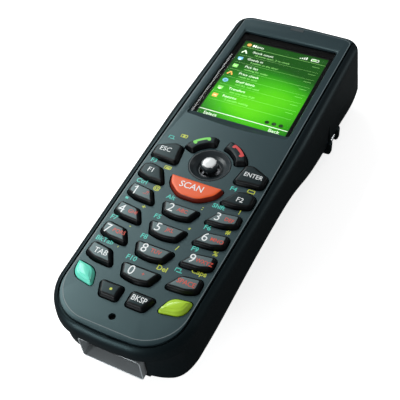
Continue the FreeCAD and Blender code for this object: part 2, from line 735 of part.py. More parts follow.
def cover_profile(inset):
    """The side view of the battery cover: flat along the floor, ramped up to the hinge end."""
    return [
        (COVER_HEAD_Y - inset, inset, 0.6),
        (COVER_HEAD_Y - inset, COVER_TOP + (WALL if inset else 0.0)),
        (COVER_FOOT_Y + inset, COVER_TOP + (WALL if inset else 0.0)),
        (COVER_FOOT_Y + inset, BUTT_HEIGHT + inset * 0.6, 1.2),
        (COVER_RAMP_Y + inset * 0.6, inset, 5.0),
    ]


def cover_form(inset):
    half = COVER_HALF_WIDTH - inset
    side = Part.Face(rounded(cover_profile(inset), lambda u, v: vec(-half, u, v))).extrude(vec(2 * half, 0, 0))
    high = COVER_TOP + 2 * WALL
    section = Part.Face(rounded([
        (-half, inset, COVER_EDGE_ROUND - inset), (half, inset, COVER_EDGE_ROUND - inset), (half, high), (-half, high),
    ], lambda u, v: vec(u, -BIG / 2, v))).extrude(vec(0, BIG, 0))
    return side.common(section)


def tongue_box(grow, y0, y1):
    half = LATCH_TONGUE_WIDTH / 2 + grow
    low = LATCH_POCKET_DEPTH + WALL + LATCH_CLEARANCE - grow
    return box(-half, half, y0, y1, low, low + LATCH_TONGUE_THICKNESS + 2 * grow)


def make_battery_cover():
    cover = cover_form(0.0).cut(cover_form(WALL))
    relief = box(-BIG, BIG, -BIG, COVER_RAMP_Y, HINGE_Z + HINGE_PIN_RADIUS + 0.6, BIG)
    catch = tongue_box(LATCH_CLEARANCE, COVER_HEAD_Y - WALL - 1.0, COVER_HEAD_Y + 1.0)
    cover = one_solid(cover.cut([relief, catch]))
    pin = rod(HINGE_PIN_RADIUS, vec(COVER_HALF_WIDTH - WALL, HINGE_Y, HINGE_Z),
              vec(COVER_HALF_WIDTH + COVER_GAP + HINGE_PIN_LENGTH, HINGE_Y, HINGE_Z))
    grips = [box(-COVER_HALF_WIDTH * 0.5, COVER_HALF_WIDTH * 0.5, COVER_HEAD_Y - 9.0 + 2.0 * i,
                 COVER_HEAD_Y - 8.2 + 2.0 * i, -1.0, 0.4) for i in range(3)]
    return one_solid(fuse(cover, *both_sides(pin)).cut(grips))


def latch_pocket():
    """Where the latch's thumb pad lies in the back of the head, with room for its travel."""
    half = LATCH_PAD_WIDTH / 2 + LATCH_CLEARANCE
    y0 = BAY_HEAD_Y + BAY_WALL + 1.0
    return (-half, half, y0, y0 + LATCH_PAD_LENGTH + LATCH_TRAVEL + 2 * LATCH_CLEARANCE)


def make_battery_latch():
    x0, x1, y0, y1 = latch_pocket()
    pad_head = y1 - LATCH_CLEARANCE
    pad_foot = pad_head - LATCH_PAD_LENGTH
    pad_half = LATCH_PAD_WIDTH / 2
    pad = prism(rounded([(-pad_half, pad_foot, 1.5), (pad_half, pad_foot, 1.5),
                         (pad_half, pad_head, 1.5), (-pad_half, pad_head, 1.5)]),
                LATCH_PAD_SETBACK, LATCH_POCKET_DEPTH - LATCH_CLEARANCE)
    pitch = LATCH_PAD_LENGTH / (LATCH_RIBS + 1)
    grooves = [box(-pad_half * 0.7, pad_half * 0.7, pad_foot + pitch * (i + 1) - 0.3,
                   pad_foot + pitch * (i + 1) + 0.3, 0.0, LATCH_PAD_SETBACK + 0.4) for i in range(LATCH_RIBS)]
    pad = pad.cut(grooves)
    stem_y = (pad_foot + pad_head) / 2
    stem = box(-LATCH_STEM_WIDTH / 2, LATCH_STEM_WIDTH / 2, stem_y - LATCH_STEM_LENGTH / 2,
               stem_y + LATCH_STEM_LENGTH / 2, LATCH_POCKET_DEPTH - 2 * LATCH_CLEARANCE,
               LATCH_POCKET_DEPTH + WALL + 2 * LATCH_CLEARANCE)
    tongue = tongue_box(0.0, BAY_HEAD_Y + LATCH_CLEARANCE, stem_y + LATCH_STEM_LENGTH / 2)
    return one_solid(fuse(pad, stem, tongue))


def strap_lobes():
    """Two small lobes on the right edge of the head, either side of the strap bar's notch, and the wall behind it."""
    lobes = []
    x = half_width_at(STRAP_Y)
    for side in (-1, 1):
        centre = STRAP_Y + side * (STRAP_SPAN + STRAP_LOBE) / 2
        lobe = box(x - STRAP_NOTCH_DEPTH - WALL, x + STRAP_PROUD, centre - STRAP_LOBE / 2, centre + STRAP_LOBE / 2,
                   STRAP_Z - 2.6, STRAP_Z + 2.6)
        outer = [edge for edge in lobe.Edges if edge.BoundBox.XMin > x + STRAP_PROUD - 1e-4]
        lobes.append(lobe.makeFillet(1.0, outer))
    reach = STRAP_SPAN / 2 + STRAP_LOBE
    lobes.append(box(x - STRAP_NOTCH_DEPTH - WALL, x - STRAP_NOTCH_DEPTH, STRAP_Y - reach, STRAP_Y + reach,
                     STRAP_Z - 2.6, STRAP_Z + 3.4))
    return lobes


def strap_notch():
    x = half_width_at(STRAP_Y)
    return box(x - STRAP_NOTCH_DEPTH, x + STRAP_PROUD + 1.0, STRAP_Y - STRAP_SPAN / 2, STRAP_Y + STRAP_SPAN / 2,
               STRAP_Z - 2.2, STRAP_Z + 2.2)


def strap_axis():
    x = half_width_at(STRAP_Y) - STRAP_PIN_RADIUS + 0.5
    reach = STRAP_SPAN / 2 + STRAP_LOBE * 0.6
    return vec(x, STRAP_Y - reach, STRAP_Z), vec(x, STRAP_Y + reach, STRAP_Z)


def window_outline(grow, y0, y1):
    points = [(-WINDOW_HALF_WIDTH - grow, WINDOW_LOW_Z - grow, WINDOW_CORNER),
              (WINDOW_HALF_WIDTH + grow, WINDOW_LOW_Z - grow, WINDOW_CORNER),
              (WINDOW_HALF_WIDTH + grow, WINDOW_HIGH_Z + grow, WINDOW_CORNER),
              (-WINDOW_HALF_WIDTH - grow, WINDOW_HIGH_Z + grow, WINDOW_CORNER)]
    return Part.Face(rounded(points, lambda u, v: vec(u, y0, v))).extrude(vec(0, y1 - y0, 0))


WINDOW_OUTER_Y = HEAD_END_Y - HEAD_BOW / 2 - WINDOW_SETBACK
WINDOW_INNER_Y = WINDOW_OUTER_Y - WINDOW_THICKNESS
ENGINE_LOW = WINDOW_LOW_Z - 2.4
ENGINE_HEAD_Y = WINDOW_INNER_Y - WINDOW_LAP - ENGINE_SETBACK
ENGINE_FOOT_Y = ENGINE_HEAD_Y - ENGINE_LENGTH


def make_rear_housing(case):
    inner = case_block(WALL)
    shell = case.common(box(-BIG, BIG, -BIG, BIG, 0.0, PARTING_Z))
    shell = shell.cut(inner)
    tub = box(-BAY_HALF_WIDTH - BAY_WALL, BAY_HALF_WIDTH + BAY_WALL, BAY_FOOT_Y - HINGE_RELIEF - BAY_WALL,
              BAY_HEAD_Y + BAY_WALL, -1.0, TUB_TOP).common(case)
    adds = [tub]
    for x, y in case_posts():
        adds.append(disc(BOSS_RADIUS, x, y, 0.0, PARTING_Z).common(case))
    for x, y in board_posts():
        adds.append(disc(POST_RADIUS, x, y, 0.0, BOARD_LOW).common(case))
    x0, x1, y0, y1 = latch_pocket()
    adds.append(box(x0 - WALL, x1 + WALL, y0 - WALL, y1 + WALL, 0.0, LATCH_POCKET_DEPTH + WALL - LATCH_CLEARANCE))
    for x in (-ENGINE_WIDTH / 2 + 2.0, ENGINE_WIDTH / 2 - 2.0):
        adds.append(box(x - 1.0, x + 1.0, ENGINE_FOOT_Y + 1.0, ENGINE_HEAD_Y - 4.0, 0.5, ENGINE_LOW))
    frame_back = WINDOW_INNER_Y - WINDOW_LAP
    adds.append(window_outline(2 * WINDOW_LAP + 0.4, frame_back, HEAD_END_Y).common(case)
                .common(box(-BIG, BIG, -BIG, BIG, 0.0, PARTING_Z)))
    adds += strap_lobes()
    shell = fuse(shell, *adds)
    cuts = [
        box(-BAY_HALF_WIDTH, BAY_HALF_WIDTH, BAY_FOOT_Y, BAY_HEAD_Y, -1.0, LEDGE_Z),
        box(-INNER_HALF_WIDTH, INNER_HALF_WIDTH, BAY_FOOT_Y + BAY_LEDGE, BAY_HEAD_Y - BAY_LEDGE, -1.0, BAY_TOP),
        tongue_box(LATCH_CLEARANCE, BAY_HEAD_Y - 1.0, BAY_HEAD_Y + BAY_WALL + 1.0),
        box(x0, x1, y0, y1, -1.0, LATCH_POCKET_DEPTH),
        dock_clearance(),
        strap_notch(),
        window_outline(0.0, WINDOW_OUTER_Y - 0.1, HEAD_END_Y + 1.0),
        window_outline(WINDOW_LAP + GLASS_GAP, WINDOW_INNER_Y, WINDOW_OUTER_Y),
        window_outline(-WINDOW_LAP, frame_back - 4.0, WINDOW_INNER_Y + 0.1),
        terminal_block(COVER_GAP),
    ]
    stem_y = y1 - LATCH_CLEARANCE - LATCH_PAD_LENGTH / 2
    slot_half = LATCH_STEM_WIDTH / 2 + LATCH_CLEARANCE
    cuts.append(box(-slot_half, slot_half, stem_y - LATCH_STEM_LENGTH / 2 - LATCH_TRAVEL - LATCH_CLEARANCE,
                    stem_y + LATCH_STEM_LENGTH / 2 + LATCH_CLEARANCE, -1.0, LATCH_POCKET_DEPTH + WALL + 1.0))
    start, end = strap_axis()
    cuts.append(rod(STRAP_PIN_RADIUS + SCREW_FIT, start, end))
    cuts.append(rod(HINGE_Y - BAY_FOOT_Y + HINGE_RELIEF, vec(-BAY_HALF_WIDTH, HINGE_Y, HINGE_Z),
                    vec(BAY_HALF_WIDTH, HINGE_Y, HINGE_Z)).common(box(-BIG, BIG, -BIG, HINGE_Y, -1.0, LEDGE_Z)))
    cuts.append(rod(HINGE_PIN_RADIUS + PIN_CLEARANCE,
                    vec(-BAY_HALF_WIDTH - HINGE_PIN_LENGTH - PIN_CLEARANCE, HINGE_Y, HINGE_Z),
                    vec(BAY_HALF_WIDTH + HINGE_PIN_LENGTH + PIN_CLEARANCE, HINGE_Y, HINGE_Z)))
    for x, y in case_posts():
        cuts.append(disc(SCREW_HEAD_RADIUS + SCREW_CLEARANCE, x, y, -1.0, CASE_SCREW_SEAT_Z))
        cuts.append(disc(SCREW_RADIUS + SCREW_CLEARANCE, x, y, -1.0, PARTING_Z + 1.0))
    for x, y in board_posts():
        cuts.append(disc(SCREW_RADIUS + SCREW_FIT, x, y, BOARD_LOW - BOARD_SCREW_LENGTH, BOARD_LOW + 1.0))
    for ring, count in ((0.0, 1), (1.5, 6), (2.9, 10)):
        for i in range(count):
            turn = 2 * math.pi * i / count
            cuts.append(disc(GRILLE_HOLE_RADIUS, SPEAKER_X + ring * math.cos(turn),
                             SPEAKER_Y + ring * math.sin(turn), -1.0, WALL + 1.0))
    cuts.append(parting_block(WALL / 2 - SEAL_WIDTH / 2, PARTING_Z - SEAL_HEIGHT, PARTING_Z + 0.5)
                .cut(parting_block(WALL / 2 + SEAL_WIDTH / 2, PARTING_Z - SEAL_HEIGHT - 1.0, PARTING_Z + 1.0)))
    return one_solid(shell.cut(cuts))


def make_housing_seal():
    outer = parting_block(WALL / 2 - SEAL_WIDTH / 2, PARTING_Z - SEAL_HEIGHT, PARTING_Z)
    inner = parting_block(WALL / 2 + SEAL_WIDTH / 2, PARTING_Z - SEAL_HEIGHT - 1.0, PARTING_Z + 1.0)
    return one_solid(outer.cut([inner, dock_clearance()]))


# Display stack

def make_display_window():
    return glass_box(0.0, GLASS_LOW, GLASS_TOP)


def make_display_gasket():
    outer = glass_box(-MODULE_MARGIN, MODULE_TOP, GLASS_LOW)
    return outer.cut(glass_box(-MODULE_MARGIN - GASKET_WIDTH, MODULE_TOP - 1.0, GLASS_LOW + 1.0))


def make_display_module():
    return glass_box(-MODULE_MARGIN, MODULE_LOW, MODULE_TOP)


def make_display_tray():
    tray = glass_box(-MODULE_MARGIN + TRAY_THICKNESS, TRAY_LOW, MODULE_LOW + TRAY_LIP)
    return tray.cut(glass_box(-MODULE_MARGIN, MODULE_LOW, MODULE_TOP))


# Keypad and board

def under_keys(grow, z0, z1):
    half = MAT_HALF_WIDTH + grow
    wire = rounded([(-half, MAT_FOOT_Y - grow, 8.0), (half, MAT_FOOT_Y - grow, 8.0),
                    (half, MAT_HEAD_Y + grow, 2.0), (-half, MAT_HEAD_Y + grow, 2.0)])
    return prism(wire, z0, z1)


def clear_of_posts(z0, z1):
    cuts = [disc(POST_RADIUS + COVER_GAP, x, y, z0, z1) for x, y in case_posts()]
    cuts.append(box(-GIMBAL_HALF - 1.6, GIMBAL_HALF + 1.6, STICK_Y - GIMBAL_HALF - 1.6,
                    STICK_Y + GIMBAL_HALF + 1.6, z0, z1))
    return cuts


def make_keypad_mat(outlines):
    """The silicone mat, with a pad under each key that stops short of the pressed key."""
    sheet_top = MAT_LOW + MAT_THICKNESS
    sheet = under_keys(0.0, MAT_LOW, sheet_top).cut(clear_of_posts(MAT_LOW - 1.0, sheet_top + 1.0))
    pads = []
    for points in outlines.values():
        centre = key_centre(points)
        pads.append(disc(DOME_RADIUS * 0.8, centre.x, centre.y, MAT_LOW, MAT_TOP))
    mat = fuse(sheet, *pads)
    domes = []
    for points in outlines.values():
        centre = key_centre(points)
        domes.append(disc(DOME_RADIUS + 0.2, centre.x, centre.y, MAT_LOW - 1.0, MAT_LOW + DOME_HEIGHT + 0.1))
    return one_solid(mat.cut(domes))


def make_dome_sheet(outlines):
    sheet = under_keys(0.0, BOARD_TOP, DOME_TOP).cut(clear_of_posts(BOARD_TOP - 1.0, DOME_TOP + 1.0))
    domes = []
    for points in outlines.values():
        centre = key_centre(points)
        cap_radius = (DOME_RADIUS ** 2 + DOME_HEIGHT ** 2) / (2 * DOME_HEIGHT)
        ball = Part.makeSphere(cap_radius, vec(centre.x, centre.y, DOME_TOP + DOME_HEIGHT - cap_radius))
        domes.append(ball.common(disc(DOME_RADIUS, centre.x, centre.y, BOARD_TOP, DOME_TOP + DOME_HEIGHT + 0.1)))
    return one_solid(fuse(sheet, *domes))


def make_main_board():
    board = parting_block(WALL + BOARD_MARGIN + SIDE_DRAFT * (BOARD_TOP - PARTING_Z), BOARD_LOW, BOARD_TOP)
    cuts = [disc(POST_RADIUS + COVER_GAP, x, y, BOARD_LOW - 1.0, BOARD_TOP + 1.0) for x, y in case_posts()]
    cuts += [disc(SCREW_RADIUS + SCREW_CLEARANCE, x, y, BOARD_LOW - 1.0, BOARD_TOP + 1.0) for x, y in board_posts()]
    return one_solid(board.cut(cuts))


# Joystick

STICK_PIVOT_Z = PANEL_TOP - STICK_PIVOT_DROP


def turned(points, x, y):
    """A solid of revolution about a vertical line, from (radius, height) corners."""
    wire = Part.makePolygon([vec(x + r, y, z) for r, z in points + points[:1]])
    return Part.Face(wire).revolve(vec(x, y, 0), vec(0, 0, 1), 360)


def make_joystick_dish():
    """The bowl round the stick: a flat lip on the deck and a hollow cone down to the stick's hole."""
    lip = DISH_RADIUS - DISH_GAP
    bowl_low = PANEL_TOP - DISH_DEPTH
    profile = [
        (lip, DECK_TOP), (lip, PANEL_TOP - 0.1), (lip - 0.2, PANEL_TOP + 0.1), (lip - 0.5, PANEL_TOP + 0.1),
        (lip - 1.6, PANEL_TOP - 0.9), (lip - 2.6, PANEL_TOP - 1.5), (STICK_HOLE + 0.3, bowl_low), (STICK_HOLE, bowl_low),
        (STICK_HOLE, bowl_low - 0.7), (DISH_RADIUS - 1.1, bowl_low - 0.7), (DISH_RADIUS - 1.1, DECK_TOP),
    ]
    return turned(profile, 0.0, STICK_Y)


def make_joystick_cap():
    """The stick: a white tip on a dark mushroom, and the shaft down to its pivot pin."""
    top = PANEL_TOP + STICK_RISE
    neck = PANEL_TOP - 1.3
    profile = [
        (0.0, STICK_PIVOT_Z - 0.9), (STICK_SHAFT_RADIUS, STICK_PIVOT_Z - 0.9), (STICK_SHAFT_RADIUS, neck),
        (STICK_CAP_RADIUS - 0.5, neck + 0.1), (STICK_CAP_RADIUS, neck + 0.7), (STICK_CAP_RADIUS, top - 0.9),
        (STICK_CAP_RADIUS - 0.25, top - 0.55), (STICK_TIP_RADIUS, top - 0.5), (STICK_TIP_RADIUS - 0.15, top - 0.2),
        (STICK_TIP_RADIUS * 0.6, top - 0.03), (0.0, top),
    ]
    stick = turned(profile, 0.0, STICK_Y)
    reach = GIMBAL_HALF - 1.0
    pin = rod(GIMBAL_PIN_RADIUS, vec(-reach, STICK_Y, STICK_PIVOT_Z), vec(reach, STICK_Y, STICK_PIVOT_Z))
    return one_solid(fuse(stick, pin))


def make_joystick_gimbal():
    """The ring that carries the stick's pin across, and turns on its own pins along Y."""
    half = GIMBAL_HALF - 0.7
    high = GIMBAL_PIN_RADIUS + 0.35
    ring = box(-half, half, STICK_Y - half, STICK_Y + half, STICK_PIVOT_Z - high, STICK_PIVOT_Z + high)
    hole = half - 0.9
    ring = ring.cut(box(-hole, hole, STICK_Y - hole, STICK_Y + hole, STICK_PIVOT_Z - 3.0, STICK_PIVOT_Z + 3.0))
    reach = GIMBAL_HALF + 0.9
    pin = rod(GIMBAL_PIN_RADIUS, vec(0, STICK_Y - reach, STICK_PIVOT_Z), vec(0, STICK_Y + reach, STICK_PIVOT_Z))
    pin = pin.cut(box(-hole, hole, STICK_Y - hole, STICK_Y + hole, STICK_PIVOT_Z - 3.0, STICK_PIVOT_Z + 3.0))
    bore = rod(GIMBAL_PIN_RADIUS + PIN_CLEARANCE, vec(-half - 1.0, STICK_Y, STICK_PIVOT_Z),
               vec(half + 1.0, STICK_Y, STICK_PIVOT_Z))
    return one_solid(fuse(ring, pin).cut(bore))


def make_joystick_base():
    """The frame on the board that holds the gimbal's pins."""
    half = GIMBAL_HALF + 1.3
    low = BOARD_TOP
    high = STICK_PIVOT_Z + GIMBAL_PIN_RADIUS + 0.6
    hole = GIMBAL_HALF + 0.1
    frame = box(-half, half, STICK_Y - half, STICK_Y + half, low, high)
    frame = frame.cut(box(-hole, hole, STICK_Y - hole, STICK_Y + hole, low + 0.15, high + 1.0))
    return frame.cut(rod(GIMBAL_PIN_RADIUS + PIN_CLEARANCE, vec(0, STICK_Y - half - 1.0, STICK_PIVOT_Z),
                         vec(0, STICK_Y + half + 1.0, STICK_PIVOT_Z)))


# Battery and its contacts

BATTERY_HALF_WIDTH = COVER_HALF_WIDTH - WALL - BATTERY_CLEARANCE


def make_battery_pack():
    low = WALL + BATTERY_CLEARANCE
    high = BAY_TOP - COVER_SEAL_THICKNESS
    pack = box(-BATTERY_HALF_WIDTH, BATTERY_HALF_WIDTH, BATTERY_FOOT_Y, BATTERY_HEAD_Y, low, high)
    long_edges = [edge for edge in pack.Edges if edge.BoundBox.YLength > BATTERY_LENGTH - 1.0]
    pack = pack.makeFillet(BATTERY_ROUND, long_edges)
    foot = COVER_FOOT_Y + WALL
    slope = Part.Face(rounded([(BATTERY_FOOT_Y - 1.0, low - 1.0), (BATTERY_FOOT_Y + 4.0, low - 1.0),
                               (BATTERY_FOOT_Y - 1.0, low + 6.0)],
                              lambda u, v: vec(-BIG, u, v))).extrude(vec(2 * BIG, 0, 0))
    return one_solid(pack.cut(slope)) if foot < BATTERY_FOOT_Y else pack


def terminal_block(grow=0.0):
    half = TERMINAL_HALF_WIDTH + grow
    return box(-half, half, TERMINAL_FOOT_Y - grow, TERMINAL_HEAD_Y + grow, TERMINAL_LOW_Z, BOARD_LOW)


def make_battery_terminals():
    block = terminal_block()
    blades = [box(-5.1 + 2.4 * i, -3.9 + 2.4 * i, BATTERY_HEAD_Y, BATTERY_HEAD_Y + 0.8, 12.2, 15.2) for i in range(5)
              if i != 2]
    return one_solid(fuse(block, *blades))


def make_cover_seal():
    outer = box(-BAY_HALF_WIDTH + 0.1, BAY_HALF_WIDTH - 0.1, BAY_FOOT_Y + 0.1, BAY_HEAD_Y - 0.1,
                LEDGE_Z - COVER_SEAL_THICKNESS, LEDGE_Z)
    return outer.cut(box(-INNER_HALF_WIDTH, INNER_HALF_WIDTH, BAY_FOOT_Y + BAY_LEDGE, BAY_HEAD_Y - BAY_LEDGE,
                         0.0, BAY_TOP))


# Scanning end

def make_scan_window():
    return window_outline(WINDOW_LAP, WINDOW_INNER_Y + 0.3, WINDOW_OUTER_Y)


def make_scan_window_seal():
    outer = window_outline(WINDOW_LAP, WINDOW_INNER_Y, WINDOW_INNER_Y + 0.3)
    return outer.cut(window_outline(-WINDOW_LAP, WINDOW_INNER_Y - 1.0, WINDOW_OUTER_Y))


def make_scan_engine():
    half = ENGINE_WIDTH / 2
    body = box(-half, half, ENGINE_FOOT_Y, ENGINE_HEAD_Y, ENGINE_LOW, ENGINE_LOW + ENGINE_HEIGHT)
    lens_z = (WINDOW_LOW_Z + WINDOW_HIGH_Z) / 2
    port = box(-half + 2.0, half - 2.0, ENGINE_HEAD_Y - 3.0, ENGINE_HEAD_Y + 1.0, lens_z - 3.0, lens_z + 3.0)
    lens = rod(ENGINE_LENS_RADIUS, vec(-4.0, ENGINE_HEAD_Y - 4.0, lens_z), vec(-4.0, ENGINE_HEAD_Y - 1.0, lens_z))
    light = rod(ENGINE_LENS_RADIUS * 0.6, vec(4.5, ENGINE_HEAD_Y - 4.0, lens_z), vec(4.5, ENGINE_HEAD_Y - 1.2, lens_z))
    return one_solid(fuse(body.cut(port), lens, light))


# Dock connector

def sleeve_block(inset):
    """The outside of the connector's sleeve, or its inside at the metal's thickness."""
    half = DOCK_HALF_WIDTH - inset
    low = DOCK_LOW_Z + inset
    high = DOCK_HIGH_Z - inset
    corner = DOCK_SHIELD_ROUND - inset
    wire = rounded([(-half, low, corner), (half, low, corner), (half, high, corner), (-half, high, corner)],
                   lambda u, v: vec(u, DOCK_FACE_Y - inset, v))
    return Part.Face(wire).extrude(vec(0, DOCK_LENGTH + 2 * inset, 0))


def make_dock_collar():
    """The plastic collar in the foot end that holds the socket."""
    collar = dock_collar_box()
    inside = sleeve_block(0.0)
    outer_edges = [edge for edge in collar.Edges if edge.BoundBox.YLength > 1.0]
    return collar.makeFillet(1.0, outer_edges).cut(inside)


def make_dock_shield():
    return sleeve_block(0.0).cut(sleeve_block(DOCK_SHIELD_THICKNESS))


def dock_tongue_levels():
    high = DOCK_HIGH_Z - DOCK_SHIELD_THICKNESS - DOCK_TONGUE_DROP
    return high - DOCK_TONGUE_THICKNESS, high


def make_dock_connector():
    """The insulator that fills the back of the sleeve, and its tongue."""
    half = DOCK_HALF_WIDTH - DOCK_SHIELD_THICKNESS
    low = DOCK_LOW_Z + DOCK_SHIELD_THICKNESS
    high = DOCK_HIGH_Z - DOCK_SHIELD_THICKNESS
    body = box(-half, half, DOCK_FACE_Y + DOCK_SOCKET_DEPTH, DOCK_FACE_Y + DOCK_LENGTH, low, high)
    body = body.common(sleeve_block(DOCK_SHIELD_THICKNESS))
    tongue_low, tongue_high = dock_tongue_levels()
    tongue = box(-half + 1.4, half - 1.4, DOCK_FACE_Y + 1.0, DOCK_FACE_Y + DOCK_SOCKET_DEPTH + 1.0,
                 tongue_low, tongue_high)
    plug = box(-2.4, 2.4, DOCK_FACE_Y + 0.5, DOCK_FACE_Y + DOCK_SOCKET_DEPTH, tongue_high, high)
    return one_solid(fuse(body, tongue, plug))


def make_dock_contacts():
    """A row of pins under the tongue, and the solder tails behind the insulator."""
    tongue_low = dock_tongue_levels()[0]
    thick = 0.25
    pins = []
    first = -(DOCK_PIN_COUNT - 1) * DOCK_PIN_PITCH / 2
    for i in range(DOCK_PIN_COUNT):
        x = first + i * DOCK_PIN_PITCH
        pins.append(box(x - DOCK_PIN_WIDTH / 2, x + DOCK_PIN_WIDTH / 2, DOCK_FACE_Y + 1.2,
                        DOCK_FACE_Y + DOCK_SOCKET_DEPTH, tongue_low - thick, tongue_low))
        pins.append(box(x - DOCK_PIN_WIDTH / 2, x + DOCK_PIN_WIDTH / 2, DOCK_FACE_Y + DOCK_LENGTH,
                        DOCK_FACE_Y + DOCK_LENGTH + 0.5, tongue_low, BOARD_LOW))
    return Part.makeCompound(pins)


# Fasteners and small parts

def screw(x, y, seat, length, head_radius, upwards):
    """A pan-head screw with a cross recess, its head's underside at seat."""
    turn = 1 if upwards else -1
    head_end = seat - turn * SCREW_HEAD_HEIGHT
    head = rod(head_radius, vec(x, y, seat), vec(x, y, head_end))
    shank = rod(SCREW_RADIUS, vec(x, y, seat), vec(x, y, seat + turn * length))
    half = SCREW_SLOT / 2
    reach = head_radius * 0.7
    low = min(head_end, head_end + turn * 0.6)
    high = max(head_end, head_end + turn * 0.6)
    body = fuse(head, shank)
    return body.cut([box(x - half, x + half, y - reach, y + reach, low, high),
                     box(x - reach, x + reach, y - half, y + half, low, high)])


def make_case_screws():
    return Part.makeCompound([screw(x, y, CASE_SCREW_SEAT_Z, SCREW_LENGTH, SCREW_HEAD_RADIUS, True)
                              for x, y in case_posts()])


def make_board_screws():
    return Part.makeCompound([screw(x, y, BOARD_TOP, BOARD_SCREW_LENGTH, BOARD_SCREW_HEAD_RADIUS, False)
                              for x, y in board_posts()])


def make_strap_bar():
    start, end = strap_axis()
    return rod(STRAP_PIN_RADIUS, start, end)


def make_status_light(case):
    return light_pipe_block().common(case)


def make_microphone():
    return disc(MIC_RADIUS, 0, MIC_Y, BOARD_TOP, DECK_LOW)


def make_speaker():
    body = disc(SPEAKER_RADIUS, SPEAKER_X, SPEAKER_Y, WALL, WALL + SPEAKER_HEIGHT)
    return body.cut(disc(SPEAKER_RADIUS - 0.8, SPEAKER_X, SPEAKER_Y, WALL - 1.0, WALL + 0.6))


def make_vibration_motor():
    return disc(MOTOR_RADIUS, MOTOR_X, MOTOR_Y, WALL, WALL + MOTOR_HEIGHT)


def make_radio_card():
    head = HEAD_END_Y - RADIO_INSET
    foot = head - RADIO_LENGTH
    low = BOARD_LOW - RADIO_CARD_THICKNESS
    card = box(-RADIO_HALF_WIDTH, RADIO_HALF_WIDTH, foot, head, low, BOARD_LOW)
    can_half = RADIO_HALF_WIDTH - RADIO_CAN_MARGIN
    can = box(-can_half, can_half, foot + RADIO_CAN_MARGIN, head - RADIO_CAN_MARGIN, low - RADIO_CAN_HEIGHT, low)
    return one_solid(fuse(card, can))


def make_antenna():
    y = HEAD_END_Y - HEAD_BOW - WALL - 0.8
    return box(-ANTENNA_HALF_WIDTH, ANTENNA_HALF_WIDTH, y - ANTENNA_THICKNESS, y, PARTING_Z + 0.4, BOARD_LOW)


def main():
    os.makedirs("parts", exist_ok=True)
    outlines = key_outlines()
    case = case_block()
    save("front_panel", make_front_panel(case, outlines))
    save("front_housing", make_front_housing(case, outlines))
    save("rear_housing", make_rear_housing(case))
    save("housing_seal", make_housing_seal())
    save("display_window", make_display_window())
    save("display_gasket", make_display_gasket())
    save("display_module", make_display_module())
    save("display_tray", make_display_tray())
    save("keypad_mat", make_keypad_mat(outlines))
    save("dome_sheet", make_dome_sheet(outlines))
    save("main_board", make_main_board())
    for name, points in outlines.items():
        neighbours = [outlines[CROWDED_KEYS[name]]] if name in CROWDED_KEYS else []
        save(name, make_key(points, neighbours))
    save("joystick_dish", make_joystick_dish())
    save("joystick_base", make_joystick_base())
    save("joystick_gimbal", make_joystick_gimbal())
    save("joystick_cap", make_joystick_cap())
    save("battery_cover", make_battery_cover())
    save("battery_latch", make_battery_latch())
    save("battery_pack", make_battery_pack())
    save("battery_terminals", make_battery_terminals())
    save("cover_seal", make_cover_seal())
    save("scan_window", make_scan_window())
    save("scan_window_seal", make_scan_window_seal())
    save("scan_engine", make_scan_engine())
    save("dock_collar", make_dock_collar())
    save("dock_shield", make_dock_shield())
    save("dock_connector", make_dock_connector())
    save("dock_contacts", make_dock_contacts())
    save("case_screws", make_case_screws())
    save("board_screws", make_board_screws())
    save("strap_bar", make_strap_bar())
    save("status_light", make_status_light(case))
    save("microphone", make_microphone())
    save("speaker", make_speaker())
    save("vibration_motor", make_vibration_motor())
    save("radio_card", make_radio_card())
    save("antenna", make_antenna())


main()
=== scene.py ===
import json
import math

import bmesh
import bpy
import numpy as np
from bpy.props import FloatProperty, FloatVectorProperty, PointerProperty
from mathutils import Matrix, Vector
from mathutils.geometry import convex_hull_2d


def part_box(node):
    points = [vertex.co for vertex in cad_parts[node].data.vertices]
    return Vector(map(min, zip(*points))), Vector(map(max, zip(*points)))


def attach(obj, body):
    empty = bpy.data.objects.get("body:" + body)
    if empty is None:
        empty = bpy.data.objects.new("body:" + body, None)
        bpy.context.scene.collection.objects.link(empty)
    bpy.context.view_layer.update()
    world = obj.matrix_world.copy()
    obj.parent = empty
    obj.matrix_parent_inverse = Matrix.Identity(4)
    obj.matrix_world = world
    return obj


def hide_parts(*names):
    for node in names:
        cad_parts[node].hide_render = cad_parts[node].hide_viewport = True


bl_info = {
    "name": "Portable data terminal",
    "version": (1, 0, 0),
    "blender": (4, 5, 0),
    "location": "View3D > Sidebar > Terminal",
    "description": "Dresses a packed bar-shaped data terminal with its keys, legends, screen and finishes",
    "category": "Object",
}

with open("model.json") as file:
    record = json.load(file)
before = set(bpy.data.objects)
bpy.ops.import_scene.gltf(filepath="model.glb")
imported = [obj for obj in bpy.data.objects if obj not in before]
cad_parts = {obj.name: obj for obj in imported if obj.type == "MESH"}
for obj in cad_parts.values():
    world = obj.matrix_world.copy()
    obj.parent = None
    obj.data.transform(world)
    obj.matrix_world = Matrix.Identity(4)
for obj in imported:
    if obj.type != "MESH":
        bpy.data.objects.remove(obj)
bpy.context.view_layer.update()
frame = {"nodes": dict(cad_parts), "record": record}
NODES = frame["nodes"]
MM = 0.001
KEY_STAND = 1.5  # mm from the panel up to a key's top
KEY_Z = round(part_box("key_5")[1].z / MM, 3)
PANEL_Z = KEY_Z - KEY_STAND
STICK = (0.0, -5.8)


# ---------------------------------------------------------------- settings

